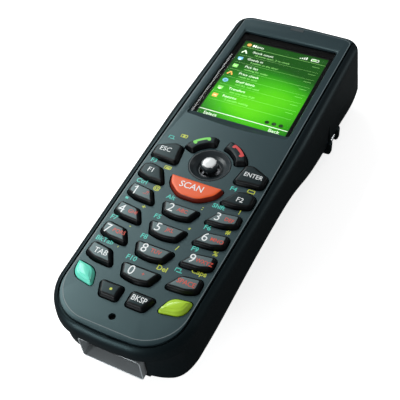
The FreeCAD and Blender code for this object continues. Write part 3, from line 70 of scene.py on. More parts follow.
class TerminalSizes(bpy.types.PropertyGroup):
    key_crown: FloatProperty(name="Key crown", description="How far a key's top swells at its middle",
                             default=0.09 * MM, unit="LENGTH")
    leaf_crown: FloatProperty(name="Coloured key crown", description="The same on the two coloured function keys",
                              default=0.42 * MM, unit="LENGTH")
    key_shoulder: FloatProperty(name="Key shoulder", description="Radius of the rounding round a key's top",
                                default=0.55 * MM, unit="LENGTH")
    digit_height: FloatProperty(name="Digit height", description="Height of the digits on the number keys",
                                default=3.15 * MM, unit="LENGTH")
    label_height: FloatProperty(name="Label height", description="Height of the small labels on the panel",
                                default=1.65 * MM, unit="LENGTH")
    edge_ease: FloatProperty(name="Edge easing", description="Width of the softened edges of the panel and housings",
                             default=0.16 * MM, unit="LENGTH")
    print_lift: FloatProperty(name="Print thickness", description="How far printed marks stand above their surface",
                              default=0.02 * MM, unit="LENGTH")


class TerminalColours(bpy.types.PropertyGroup):
    panel: FloatVectorProperty(name="Panel", description="Paint of the front panel", subtype="COLOR", size=3,
                               min=0.0, max=1.0, default=(0.020, 0.035, 0.042))
    housing: FloatVectorProperty(name="Housing", description="Moulding of the case", subtype="COLOR", size=3,
                                 min=0.0, max=1.0, default=(0.0028, 0.0055, 0.0080))
    grey_key: FloatVectorProperty(name="Grey key", description="Top of the number keys", subtype="COLOR", size=3,
                                  min=0.0, max=1.0, default=(0.105, 0.138, 0.143))
    dark_key: FloatVectorProperty(name="Dark key", description="Top of the dark keys", subtype="COLOR", size=3,
                                  min=0.0, max=1.0, default=(0.0055, 0.0095, 0.012))
    scan_key: FloatVectorProperty(name="Scan key", description="Orange of the scan key", subtype="COLOR", size=3,
                                  min=0.0, max=1.0, default=(0.86, 0.112, 0.018))
    mint_key: FloatVectorProperty(name="Mint key", description="Left coloured key", subtype="COLOR", size=3,
                                  min=0.0, max=1.0, default=(0.17, 0.88, 0.66))
    lime_key: FloatVectorProperty(name="Lime key", description="Right coloured key", subtype="COLOR", size=3,
                                  min=0.0, max=1.0, default=(0.5, 0.78, 0.045))


# ---------------------------------------------------------------- node groups and materials

def group_input(group, name, kind, value):
    socket = group.interface.new_socket(name=name, in_out="INPUT", socket_type=kind)
    socket.default_value = value
    return socket


def moulded_group():
    """Fine moulded texture: two noises on Object coordinates give a soft mottle of the colour, a change of
    roughness and a pebbled bump."""
    group = bpy.data.node_groups.get("Moulded texture")
    if group:
        return group
    group = bpy.data.node_groups.new("Moulded texture", "ShaderNodeTree")
    group_input(group, "Colour", "NodeSocketColor", (0.5, 0.5, 0.5, 1.0))
    group_input(group, "Second colour", "NodeSocketColor", (0.4, 0.4, 0.4, 1.0))
    group_input(group, "Grain scale", "NodeSocketFloat", 4000.0)
    group_input(group, "Mottle scale", "NodeSocketFloat", 90.0)
    group_input(group, "Rough", "NodeSocketFloat", 0.4)
    group_input(group, "Rough change", "NodeSocketFloat", 0.1)
    group_input(group, "Bump", "NodeSocketFloat", 0.1)
    for name, kind in (("Colour", "NodeSocketColor"), ("Roughness", "NodeSocketFloat"), ("Normal", "NodeSocketVector")):
        group.interface.new_socket(name=name, in_out="OUTPUT", socket_type=kind)
    nodes, links = group.nodes, group.links
    given, out = nodes.new("NodeGroupInput"), nodes.new("NodeGroupOutput")
    coords = nodes.new("ShaderNodeTexCoord")
    grain, mottle = nodes.new("ShaderNodeTexNoise"), nodes.new("ShaderNodeTexNoise")
    grain.inputs["Detail"].default_value = 3.0
    mottle.inputs["Detail"].default_value = 5.0
    links.new(coords.outputs["Object"], grain.inputs["Vector"])
    links.new(coords.outputs["Object"], mottle.inputs["Vector"])
    links.new(given.outputs["Grain scale"], grain.inputs["Scale"])
    links.new(given.outputs["Mottle scale"], mottle.inputs["Scale"])
    both = nodes.new("ShaderNodeMath")
    both.operation = "MULTIPLY_ADD"
    both.inputs[1].default_value = 0.55
    links.new(grain.outputs["Fac"], both.inputs[0])
    half = nodes.new("ShaderNodeMath")
    half.operation = "MULTIPLY"
    half.inputs[1].default_value = 0.45
    links.new(mottle.outputs["Fac"], half.inputs[0])
    links.new(half.outputs[0], both.inputs[2])
    tint = nodes.new("ShaderNodeMix")
    tint.data_type = "RGBA"
    links.new(both.outputs[0], tint.inputs["Factor"])
    links.new(given.outputs["Colour"], tint.inputs["A"])
    links.new(given.outputs["Second colour"], tint.inputs["B"])
    shift = nodes.new("ShaderNodeMath")
    shift.operation = "SUBTRACT"
    shift.inputs[1].default_value = 0.5
    links.new(mottle.outputs["Fac"], shift.inputs[0])
    rough = nodes.new("ShaderNodeMath")
    rough.operation = "MULTIPLY_ADD"
    links.new(shift.outputs[0], rough.inputs[0])
    links.new(given.outputs["Rough change"], rough.inputs[1])
    links.new(given.outputs["Rough"], rough.inputs[2])
    bump = nodes.new("ShaderNodeBump")
    bump.inputs["Distance"].default_value = 0.00004
    links.new(given.outputs["Bump"], bump.inputs["Strength"])
    links.new(grain.outputs["Fac"], bump.inputs["Height"])
    links.new(tint.outputs["Result"], out.inputs["Colour"])
    links.new(rough.outputs[0], out.inputs["Roughness"])
    links.new(bump.outputs["Normal"], out.inputs["Normal"])
    return group


def brushed_group():
    """Brushed metal: a noise stretched along one axis gives fine lines in colour, roughness and bump."""
    group = bpy.data.node_groups.get("Brushed lines")
    if group:
        return group
    group = bpy.data.node_groups.new("Brushed lines", "ShaderNodeTree")
    group_input(group, "Colour", "NodeSocketColor", (0.6, 0.6, 0.6, 1.0))
    group_input(group, "Stretch", "NodeSocketVector", (300.0, 6000.0, 6000.0))
    group_input(group, "Rough", "NodeSocketFloat", 0.3)
    for name, kind in (("Colour", "NodeSocketColor"), ("Roughness", "NodeSocketFloat"), ("Normal", "NodeSocketVector")):
        group.interface.new_socket(name=name, in_out="OUTPUT", socket_type=kind)
    nodes, links = group.nodes, group.links
    given, out = nodes.new("NodeGroupInput"), nodes.new("NodeGroupOutput")
    coords, stretched = nodes.new("ShaderNodeTexCoord"), nodes.new("ShaderNodeVectorMath")
    stretched.operation = "MULTIPLY"
    lines = nodes.new("ShaderNodeTexNoise")
    lines.inputs["Scale"].default_value = 1.0
    links.new(coords.outputs["Object"], stretched.inputs[0])
    links.new(given.outputs["Stretch"], stretched.inputs[1])
    links.new(stretched.outputs[0], lines.inputs["Vector"])
    tone = nodes.new("ShaderNodeMapRange")
    tone.inputs["To Min"].default_value = 0.75
    tone.inputs["To Max"].default_value = 1.15
    links.new(lines.outputs["Fac"], tone.inputs["Value"])
    tint = nodes.new("ShaderNodeVectorMath")
    tint.operation = "SCALE"
    links.new(given.outputs["Colour"], tint.inputs[0])
    links.new(tone.outputs["Result"], tint.inputs["Scale"])
    rough = nodes.new("ShaderNodeMath")
    rough.operation = "MULTIPLY"
    links.new(tone.outputs["Result"], rough.inputs[0])
    links.new(given.outputs["Rough"], rough.inputs[1])
    bump = nodes.new("ShaderNodeBump")
    bump.inputs["Distance"].default_value = 0.00001
    bump.inputs["Strength"].default_value = 0.3
    links.new(lines.outputs["Fac"], bump.inputs["Height"])
    links.new(tint.outputs[0], out.inputs["Colour"])
    links.new(rough.outputs[0], out.inputs["Roughness"])
    links.new(bump.outputs["Normal"], out.inputs["Normal"])
    return group


def surface(name):
    """A new material with its Principled shader."""
    made = bpy.data.materials.new(name)
    made.use_nodes = True
    return made, made.node_tree.nodes["Principled BSDF"]


def moulded(name, colour, second=None, rough=0.4, change=0.1, bump=0.15, grain=4000.0, mottle=90.0, coat=0.0,
            specular=0.5, sheen=(1.0, 1.0, 1.0)):
    """Moulded plastic, rubber or paint with the shared texture."""
    if name in bpy.data.materials:
        return bpy.data.materials[name]
    made, shader = surface(name)
    second = second or tuple(part * 0.8 for part in colour)
    node = made.node_tree.nodes.new("ShaderNodeGroup")
    node.node_tree = moulded_group()
    node.inputs["Colour"].default_value = (*colour, 1.0)
    node.inputs["Second colour"].default_value = (*second, 1.0)
    for socket, value in (("Grain scale", grain), ("Mottle scale", mottle), ("Rough", rough),
                          ("Rough change", change), ("Bump", bump)):
        node.inputs[socket].default_value = value
    links = made.node_tree.links
    links.new(node.outputs["Colour"], shader.inputs["Base Color"])
    links.new(node.outputs["Roughness"], shader.inputs["Roughness"])
    links.new(node.outputs["Normal"], shader.inputs["Normal"])
    shader.inputs["Coat Weight"].default_value = coat
    shader.inputs["Coat Roughness"].default_value = 0.08
    shader.inputs["Specular IOR Level"].default_value = specular
    shader.inputs["Specular Tint"].default_value = (*sheen, 1.0)
    return made


def metal(name, colour, rough=0.3, stretch=(300.0, 6000.0, 6000.0)):
    """Brushed or plated metal."""
    if name in bpy.data.materials:
        return bpy.data.materials[name]
    made, shader = surface(name)
    node = made.node_tree.nodes.new("ShaderNodeGroup")
    node.node_tree = brushed_group()
    node.inputs["Colour"].default_value = (*colour, 1.0)
    node.inputs["Stretch"].default_value = stretch
    node.inputs["Rough"].default_value = rough
    links = made.node_tree.links
    links.new(node.outputs["Colour"], shader.inputs["Base Color"])
    links.new(node.outputs["Roughness"], shader.inputs["Roughness"])
    links.new(node.outputs["Normal"], shader.inputs["Normal"])
    shader.inputs["Metallic"].default_value = 1.0
    return made


def plated(name, colour, rough, metallic):
    """Thin plating over moulding: half metal, so that it still reads light in a dark corner."""
    if name in bpy.data.materials:
        return bpy.data.materials[name]
    made = moulded(name, colour, tuple(part * 0.8 for part in colour), rough, 0.12, 0.08, 3000.0, 400.0)
    made.node_tree.nodes["Principled BSDF"].inputs["Metallic"].default_value = metallic
    return made


def clear(name, colour, rough=0.02, through=1.0):
    """Clear or tinted window with a faint uneven gloss."""
    if name in bpy.data.materials:
        return bpy.data.materials[name]
    made, shader = surface(name)
    coords, noise = (made.node_tree.nodes.new(kind) for kind in ("ShaderNodeTexCoord", "ShaderNodeTexNoise"))
    spread = made.node_tree.nodes.new("ShaderNodeMapRange")
    noise.inputs["Scale"].default_value = 60.0
    spread.inputs["To Min"].default_value = rough
    spread.inputs["To Max"].default_value = rough * 1.8
    links = made.node_tree.links
    links.new(coords.outputs["Object"], noise.inputs["Vector"])
    links.new(noise.outputs["Fac"], spread.inputs["Value"])
    links.new(spread.outputs["Result"], shader.inputs["Roughness"])
    shader.inputs["Base Color"].default_value = (*colour, 1.0)
    shader.inputs["Transmission Weight"].default_value = through
    shader.inputs["IOR"].default_value = 1.45
    return made


def ink(name, colour, glow=0.0):
    """Printed ink: the colour with a slight break-up of the print."""
    if name in bpy.data.materials:
        return bpy.data.materials[name]
    made = moulded(name, colour, tuple(part * 0.88 for part in colour), rough=0.4, change=0.1, bump=0.05,
                   grain=3000.0, mottle=700.0)
    if glow:
        shader = made.node_tree.nodes["Principled BSDF"]
        shader.inputs["Emission Color"].default_value = (*colour, 1.0)
        shader.inputs["Emission Strength"].default_value = glow
    return made


def screen_glow(name, low, high):
    """The lit display: a green sky, dark at its head and brightest low down, with two soft slanting waves."""
    made, shader = surface(name)
    nodes, links = made.node_tree.nodes, made.node_tree.links
    coords = nodes.new("ShaderNodeTexCoord")
    place = nodes.new("ShaderNodeMapping")
    place.vector_type = "TEXTURE"
    centre = [(low[i] + high[i]) / 2 * MM for i in (0, 1)]
    place.inputs["Location"].default_value = (*centre, 0.0)
    place.inputs["Scale"].default_value = ((high[0] - low[0]) / 2 * MM, (high[1] - low[1]) / 2 * MM, 1.0)
    links.new(coords.outputs["Object"], place.inputs["Vector"])
    apart = nodes.new("ShaderNodeSeparateXYZ")
    links.new(place.outputs["Vector"], apart.inputs["Vector"])

    def maths(kind, *values):
        node = nodes.new("ShaderNodeMath")
        node.operation = kind
        for i, value in enumerate(values):
            if isinstance(value, (int, float)):
                node.inputs[i].default_value = value
            else:
                links.new(value, node.inputs[i])
        return node.outputs[0]

    x, y = apart.outputs["X"], apart.outputs["Y"]
    down = maths("SUBTRACT", y, -0.42)
    across = maths("SUBTRACT", x, 0.12)
    spread = maths("ADD", maths("MULTIPLY", maths("MULTIPLY", down, down), 1.15),
                   maths("MULTIPLY", maths("MULTIPLY", across, across), 0.35))
    wave = maths("SINE", maths("ADD", maths("MULTIPLY", x, 2.2), maths("MULTIPLY", y, 5.2)))
    level = maths("ADD", maths("SUBTRACT", 1.0, spread), maths("MULTIPLY", wave, 0.07))
    ramp = nodes.new("ShaderNodeValToRGB")
    stops = ramp.color_ramp.elements
    stops[0].position, stops[0].color = 0.0, (0.005, 0.1, 0.002, 1.0)
    stops[1].position, stops[1].color = 1.0, (0.17, 0.93, 0.004, 1.0)
    middle = stops.new(0.45)
    middle.color = (0.018, 0.28, 0.004, 1.0)
    upper = stops.new(0.8)
    upper.color = (0.07, 0.64, 0.002, 1.0)
    links.new(level, ramp.inputs["Fac"])
    links.new(ramp.outputs["Color"], shader.inputs["Emission Color"])
    shader.inputs["Emission Strength"].default_value = 1.0
    shader.inputs["Base Color"].default_value = (0.002, 0.003, 0.002, 1.0)
    shader.inputs["Specular IOR Level"].default_value = 0.08
    shader.inputs["Roughness"].default_value = 0.3
    return made


def colours():
    return bpy.context.scene.terminal_colours


def sizes():
    return bpy.context.scene.terminal_sizes


def finish(slot):
    """The material of one of the record's slots."""
    tint = colours()
    made = {
        "slate_paint": lambda: moulded("Satin slate paint", tint.panel, tuple(c * 0.86 for c in tint.panel), 0.38, 0.06,
                                       0.12, 5200.0, 60.0, sheen=(0.66, 0.98, 1.0), specular=0.6),
        "black_case": lambda: moulded("Grained black case", tint.housing, tuple(c * 0.7 for c in tint.housing), 0.45,
                                      0.12, 0.3, 2600.0, 70.0, specular=0.35, sheen=(0.6, 0.95, 1.0)),
        "black_rubber": lambda: moulded("Black rubber", (0.01, 0.01, 0.011), rough=0.75, bump=0.2),
        "clear_window": lambda: clear("Clear window", (1.0, 1.0, 1.0)),
        "display": lambda: moulded("Display module black", (0.004, 0.005, 0.004), rough=0.3, bump=0.05),
        "steel_tray": lambda: metal("Pressed steel", (0.5, 0.51, 0.52), 0.35),
        "silicone": lambda: moulded("Dark silicone", (0.02, 0.022, 0.024), rough=0.6, bump=0.1),
        "film": lambda: moulded("Dome film", (0.6, 0.56, 0.42), rough=0.3, bump=0.05),
        "board": lambda: moulded("Circuit board lacquer", (0.01, 0.09, 0.03), (0.02, 0.14, 0.05), 0.3, 0.1, 0.1,
                                 1200.0, 300.0, coat=0.3),
        "key_dark": lambda: moulded("Dark satin key", tint.dark_key, tuple(c * 0.75 for c in tint.dark_key), 0.36,
                                    0.08, 0.1, 5000.0, 200.0, specular=0.35, sheen=(0.7, 0.97, 1.0)),
        "key_grey": lambda: moulded("Grey satin key", tint.grey_key, tuple(c * 0.84 for c in tint.grey_key), 0.36,
                                    0.1, 0.1, 5000.0, 200.0, sheen=(0.75, 0.98, 1.0)),
        "key_orange": lambda: moulded("Orange key", tint.scan_key, tuple(c * 0.86 for c in tint.scan_key), 0.4, 0.1,
                                      0.06, 5000.0, 160.0),
        "key_teal": lambda: moulded("Mint key", tint.mint_key, tuple(c * 0.8 for c in tint.mint_key), 0.3, 0.1, 0.06,
                                    5000.0, 160.0, coat=0.2),
        "key_lime": lambda: moulded("Lime key", tint.lime_key, tuple(c * 0.8 for c in tint.lime_key), 0.3, 0.1, 0.06,
                                    5000.0, 160.0, coat=0.2),
        "stick": lambda: moulded("White stick tip", (0.8, 0.81, 0.81), (0.74, 0.75, 0.75), 0.22, 0.08, 0.04, coat=0.3),
        "dish": lambda: moulded("Satin dark bowl", (0.026, 0.035, 0.04), (0.02, 0.027, 0.031), 0.32, 0.05, 0.03,
                                4000.0, 150.0),
        "steel": lambda: metal("Stainless steel", (0.56, 0.57, 0.58), 0.28),
        "battery": lambda: moulded("Battery sleeve", (0.035, 0.036, 0.04), rough=0.4, bump=0.08),
        "contacts": lambda: metal("Gold plating", (0.82, 0.6, 0.26), 0.22),
        "black_moulding": lambda: moulded("Black insulator", (0.012, 0.012, 0.014), rough=0.45, bump=0.15),
        "scan_red": lambda: clear("Dark red scan window", (0.22, 0.006, 0.008), 0.03, 0.65),
        "clear_light": lambda: clear("Smoked light pipe", (0.1, 0.12, 0.13), 0.2, 0.4),
        "engine": lambda: moulded("Engine chassis", (0.016, 0.017, 0.019), rough=0.5, bump=0.2),
        "screw_steel": lambda: metal("Blackened steel", (0.14, 0.14, 0.15), 0.36),
    }
    return made[slot]()


# ---------------------------------------------------------------- building pieces

def place_piece(name, mesh, body, stands_for=()):
    """Links a finished mesh as a piece on its body."""
    piece = bpy.data.objects.new(name, mesh)
    bpy.context.scene.collection.objects.link(piece)
    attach(piece, body)
    if stands_for:
        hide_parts(*stands_for)
    return piece


def mesh_from(name, points, faces, materials, which=None, smooth=True):
    """A mesh from an array of points in millimetres and lists of corner indices."""
    mesh = bpy.data.meshes.new(name)
    mesh.from_pydata((np.asarray(points, float) * MM).tolist(), [], [list(map(int, face)) for face in faces])
    for material in materials:
        mesh.materials.append(material)
    if which is not None:
        mesh.polygons.foreach_set("material_index", np.asarray(which, np.int32))
    mesh.polygons.foreach_set("use_smooth", np.full(len(mesh.polygons), smooth))
    mesh.validate()
    mesh.update()
    return mesh


def grid_faces(rows, columns, closed=True):
    """Quads between each row of points and the next; a closed grid joins the last column to the first."""
    last = columns if closed else columns - 1
    r, c = np.meshgrid(np.arange(rows - 1), np.arange(last), indexing="ij")
    a = r * columns + c
    b = r * columns + (c + 1) % columns
    return np.stack([a, b, b + columns, a + columns], axis=-1).reshape(-1, 4)


def evenly(loop, count):
    """The closed line through the points of loop, as count points at equal steps along it."""
    closed = np.vstack([loop, loop[:1]])
    steps = np.hypot(*np.diff(closed, axis=0).T)
    along = np.concatenate([[0.0], np.cumsum(steps)])
    wanted = np.linspace(0.0, along[-1], count, endpoint=False)
    return np.stack([np.interp(wanted, along, closed[:, i]) for i in (0, 1)], axis=-1)


def node_loop(node, level, count):
    """The outline of a CAD node at one height: its points there, in order of their angle about their middle."""
    mesh = NODES[node].data
    points = np.empty(len(mesh.vertices) * 3, np.float32)
    mesh.vertices.foreach_get("co", points)
    points = points.reshape(-1, 3) / MM
    flat = points[np.abs(points[:, 2] - level) < 0.02][:, :2]
    flat = np.unique(np.round(flat, 3), axis=0)
    middle = (flat.max(0) + flat.min(0)) / 2
    turn = np.arctan2(*(flat - middle).T[::-1])
    flat = flat[np.argsort(turn)]
    return evenly(flat, count)


def loop_middle(loop):
    """The centre of the area that a closed line goes round."""
    ahead = np.roll(loop, -1, axis=0)
    cross = loop[:, 0] * ahead[:, 1] - ahead[:, 0] * loop[:, 1]
    return ((loop + ahead) * cross[:, None]).sum(0) / (3.0 * cross.sum())


def inwards(loop):
    """Unit normals into a closed line that runs anticlockwise, evened out over their neighbours."""
    along = np.roll(loop, -1, axis=0) - np.roll(loop, 1, axis=0)
    normal = np.stack([-along[:, 1], along[:, 0]], axis=-1)
    normal /= np.linalg.norm(normal, axis=1, keepdims=True)
    for _ in range(2):
        normal = normal + 0.5 * (np.roll(normal, 1, axis=0) + np.roll(normal, -1, axis=0))
        normal /= np.linalg.norm(normal, axis=1, keepdims=True)
    return normal


class KeyForm:
    """One key's surface. Its side climbs from the outline, turns over a shoulder of the given radius, and its top
    is a crown: height = edge height + crown * (1 - q), where q is the square of the distance from the middle,
    measured along the outline's own long and short ways, and reaches 1 at the furthest point of the edge."""

    SIDE_LEAN = 0.42  # mm that the side leans in below its shoulder
    ROOT_DEPTH = 2.6  # mm that the side reaches down below the panel

    def __init__(self, node, crown, shoulder):
        self.node = node
        self.loop = node_loop(node, PANEL_Z, 96)
        self.inner = inwards(self.loop)
        self.middle = loop_middle(self.loop)
        self.crown = crown
        self.shoulder = shoulder
        self.edge_z = KEY_Z - 0.02
        self.edge = self.loop + self.inner * (self.SIDE_LEAN + shoulder)
        spokes = self.edge - self.middle
        self.spread = np.linalg.inv(spokes.T @ spokes)
        self.spread /= np.einsum("ij,jk,ik->i", spokes, self.spread, spokes).max()

    def rows(self):
        """Rings of points from the foot of the key to its middle, and how many belong to the side."""
        turn = np.linspace(0.0, math.pi / 2, 7)
        inset = np.concatenate([[0.0, 0.0, 0.2], self.SIDE_LEAN + self.shoulder * (1 - np.cos(turn))])
        height = np.concatenate([[PANEL_Z - self.ROOT_DEPTH, PANEL_Z, PANEL_Z + 0.45],
                                 self.edge_z - self.shoulder + self.shoulder * np.sin(turn)])
        rings = self.loop[None] + self.inner[None] * inset[:, None, None]
        side = np.concatenate([rings, np.broadcast_to(height[:, None, None], (*rings.shape[:2], 1))], axis=-1)
        share = np.concatenate([[0.955], np.linspace(1.0, 0.0, 9)[1:-1]])
        tops = self.middle + (self.edge - self.middle)[None] * share[:, None, None]
        top = np.concatenate([tops, self.height_at(tops[..., 0], tops[..., 1])[..., None]], axis=-1)
        return np.concatenate([side, top]), len(side)

    def height_at(self, x, y):
        """The height of the crown over a point of the top."""
        offset = np.stack([x - self.middle[0], y - self.middle[1]], axis=-1)
        share = np.einsum("...j,jk,...k->...", offset, self.spread, offset)
        return self.edge_z + self.crown * (1 - np.minimum(share, 1.0))

    def mesh(self, name, side_material, top_material, shoulder_rows):
        points, side_rows = self.rows()
        rows, columns = points.shape[:2]
        flat = np.vstack([points.reshape(-1, 3), [[*self.middle, self.edge_z + self.crown]]])
        quads = grid_faces(rows, columns)
        last = (rows - 1) * columns
        ring = np.arange(columns)
        fan = np.stack([last + ring, last + (ring + 1) % columns, np.full(columns, len(flat) - 1)], axis=-1)
        which = np.repeat((np.arange(rows - 1) > side_rows - shoulder_rows).astype(int), columns)
        faces = quads.tolist() + fan.tolist() + [ring[::-1].tolist()]
        which = np.concatenate([which, np.ones(columns, int), [0]])
        return mesh_from(name, flat, faces, [side_material, top_material], which)


def eased_copy(node, name, body, width, slot, angle=32.0, segments=2):
    """The CAD node's own surface merged into clean faces, with its edges softened by a small bevel."""
    mesh = NODES[node].data.copy()
    mesh.name = name
    form = bmesh.new()
    form.from_mesh(mesh)
    bmesh.ops.remove_doubles(form, verts=form.verts, dist=2e-6)
    bmesh.ops.dissolve_limit(form, angle_limit=math.radians(0.4), verts=form.verts, edges=form.edges)
    form.to_mesh(mesh)
    form.free()
    mesh.materials.clear()
    mesh.materials.append(finish(slot))
    mesh.polygons.foreach_set("use_smooth", np.full(len(mesh.polygons), True))
    mesh.set_sharp_from_angle(angle=math.radians(angle))
    piece = place_piece(name, mesh, body, (node,))
    bevel = piece.modifiers.new("Eased edges", "BEVEL")
    bevel.width = width
    bevel.segments = segments
    bevel.limit_method = "ANGLE"
    bevel.angle_limit = math.radians(angle)
    bevel.harden_normals = False
    return piece


# ---------------------------------------------------------------- printed marks

class Marks:
    """Printed marks gathered into one flat mesh: lettering, bars, ribbons and discs, each with its ink."""

    def __init__(self, inks, height):
        self.inks = inks
        self.height = height
        self.points, self.faces, self.which, self.count = [], [], [], 0

    def add(self, flat, faces, which):
        flat = np.asarray(flat, float)
        self.points.append(np.column_stack([flat, self.height(flat[:, 0], flat[:, 1])]))
        self.faces += [[self.count + int(i) for i in face] for face in faces]
        self.which += [which] * len(faces)
        self.count += len(flat)

    def text(self, words, x, y, cap, which, bold=0.012, wide=1.0, turn=0.0):
        """Lettering whose capitals are cap high, centred on x, y and turned anticlockwise by turn degrees."""
        curve = bpy.data.curves.new("lettering", "FONT")
        curve.body = words
        curve.offset = bold
        curve.resolution_u = 3
        holder = bpy.data.objects.new("lettering", curve)
        mesh = bpy.data.meshes.new_from_object(holder)
        form = bmesh.new()
        form.from_mesh(mesh)
        for _ in range(3):
            bmesh.ops.triangulate(form, faces=form.faces)
            long_edges = [edge for edge in form.edges if edge.calc_length() * cap / 0.69 > 0.45]
            bmesh.ops.subdivide_edges(form, edges=long_edges, cuts=1)
        form.to_mesh(mesh)
        form.free()
        flat = np.empty(len(mesh.vertices) * 3, np.float32)
        mesh.vertices.foreach_get("co", flat)
        flat = flat.reshape(-1, 3)[:, :2].astype(float)
        faces = [list(face.vertices) for face in mesh.polygons]
        bpy.data.meshes.remove(mesh)
        bpy.data.objects.remove(holder)
        bpy.data.curves.remove(curve)
        flat = (flat - (flat.max(0) + flat.min(0)) / 2) * (cap / 0.69) * np.array([wide, 1.0])
        angle = math.radians(turn)
        spin = np.array([[math.cos(angle), math.sin(angle)], [-math.sin(angle), math.cos(angle)]])
        self.add(flat @ spin + np.array([x, y]), faces, which)

    def bar(self, x0, x1, y0, y1, which):
        self.add([(x0, y0), (x1, y0), (x1, y1), (x0, y1)], [(0, 1, 2, 3)], which)

    def ribbon(self, path, width, which):
        """A band of even width along a line of points, in short steps, with round ends."""
        path = np.asarray(path, float)
        along = np.concatenate([[0.0], np.cumsum(np.hypot(*np.diff(path, axis=0).T))])
        steps = np.linspace(0.0, along[-1], max(3, int(along[-1] / 0.25)))
        path = np.stack([np.interp(steps, along, path[:, i]) for i in (0, 1)], axis=-1)
        ahead = np.gradient(path, axis=0)
        ahead /= np.linalg.norm(ahead, axis=1, keepdims=True)
        side = np.stack([-ahead[:, 1], ahead[:, 0]], axis=-1) * width / 2
        i = np.arange(len(path) - 1)
        strip = np.stack([i, i + 1, len(path) + i + 1, len(path) + i], axis=-1)
        self.add(np.concatenate([path - side, path + side]), strip, which)
        for end in (path[0], path[-1]):
            self.disc(*end, width / 2, which, sides=12)

    def disc(self, x, y, radius, which, inner=0.0, sides=24):
        turn = np.linspace(0.0, 2 * math.pi, sides, endpoint=False)
        ring = np.stack([np.cos(turn), np.sin(turn)], axis=-1)
        middle = np.array([x, y])
        if inner:
            i = np.arange(sides)
            j = (i + 1) % sides
            faces = np.stack([i, j, j + sides, i + sides], axis=-1)
            self.add(np.concatenate([middle + ring * radius, middle + ring * inner]), faces, which)
        else:
            self.add(middle + ring * radius, [range(sides)], which)

    def mesh(self, name):
        made = mesh_from(name, np.concatenate(self.points), self.faces, self.inks, self.which, smooth=False)
        normals = np.empty(len(made.polygons) * 3, np.float32)
        made.polygons.foreach_get("normal", normals)
        if (normals.reshape(-1, 3)[:, 2] < 0).any():
            form = bmesh.new()
            form.from_mesh(made)
            bmesh.ops.reverse_faces(form, faces=[face for face in form.faces if face.normal.z < 0])
            form.to_mesh(made)
            form.free()
        return made


INKS = {"white": (0.86, 0.88, 0.88), "red": (0.72, 0.075, 0.04), "mint": (0.07, 0.6, 0.5),
        "lime": (0.62, 0.68, 0.05), "green": (0.2, 0.72, 0.1), "crimson": (0.68, 0.06, 0.06)}
INK_ORDER = list(INKS)


def inks():
    return [ink("Ink " + name, colour) for name, colour in INKS.items()]


def arc_points(radius, start, end, count=14):
    """Points on an arc about the stick's middle, between two angles in degrees."""
    turn = np.radians(np.linspace(start, end, count))
    return np.stack([STICK[0] + radius * np.cos(turn), STICK[1] + radius * np.sin(turn)], axis=-1)


# ---------------------------------------------------------------- operators

class TERMINAL_OT_finishes(bpy.types.Operator):
    """Gives every CAD node the material of its slot in the record"""
    bl_idname = "terminal.finishes"
    bl_label = "Finishes"

    def execute(self, context):
        for part in frame["record"]["subparts"]:
            mesh = NODES[part["node"]].data
            mesh.materials.clear()
            slot = "screw_steel" if part["node"] == "joystick_gimbal" else part["material_slot"]
            mesh.materials.append(finish(slot))
            if part["node"] == "dock_contacts":
                mesh.materials[0] = plated("Tinned contacts", (0.66, 0.69, 0.7), 0.3, 0.4)
            mesh.polygons.foreach_set("material_index", np.zeros(len(mesh.polygons), np.int32))
        return {"FINISHED"}


class TERMINAL_OT_case(bpy.types.Operator):
    """Softens the edges of the front panel, both housings, the battery cover and the connector"""
    bl_idname = "terminal.case"
    bl_label = "Case"

    def execute(self, context):
        ease = sizes().edge_ease
        eased_copy("front_panel", "front_panel_eased", "case", ease, "slate_paint")
        eased_copy("front_housing", "front_housing_eased", "case", ease * 1.6, "black_case")
        eased_copy("rear_housing", "rear_housing_eased", "case", ease * 1.2, "black_case")
        eased_copy("battery_cover", "battery_cover_eased", "battery_cover", ease * 1.2, "black_case")
        eased_copy("battery_latch", "battery_latch_eased", "battery_latch", ease, "key_dark")
        eased_copy("dock_collar", "dock_collar_eased", "case", ease, "black_case")
        sleeve = eased_copy("dock_shield", "dock_shield_eased", "case", ease * 0.6, "steel", angle=50.0)
        sleeve.data.materials[0] = plated("Satin nickel", (0.5, 0.54, 0.56), 0.4, 0.35)
        eased_copy("dock_connector", "dock_connector_eased", "case", ease * 0.6, "black_moulding")
        return {"FINISHED"}


NUMBER_LETTERS = {"1": ".,?!", "2": "ABC", "3": "DEF", "4": "GHI", "5": "JKL", "6": "MNO", "7": "PQRS", "8": "TUV",
                  "9": "WXYZ", "0": "+"}
WORDS = {  # key: words, x, y, capital height, ink, width factor
    "key_escape": (("ESC", -16.2, -5.8, 1.9, "white", 0.92),),
    "key_enter": (("ENTER", 15.8, -6.1, 1.75, "white", 0.85),),
    "key_f1": (("F1", -16.3, -16.1, 1.85, "white", 0.95),),
    "key_f2": (("F2", 15.9, -16.9, 1.8, "white", 0.95),),
    "key_scan": (("SCAN", -0.6, -17.7, 2.45, "white", 0.9),),
    "key_tab": (("TAB", -13.9, -51.3, 1.9, "white", 0.92),),
    "key_space": (("SPACE", 14.5, -51.2, 1.6, "red", 0.88),),
    "key_backspace": (("BKSP", 4.9, -61.4, 1.8, "white", 0.85),),
}


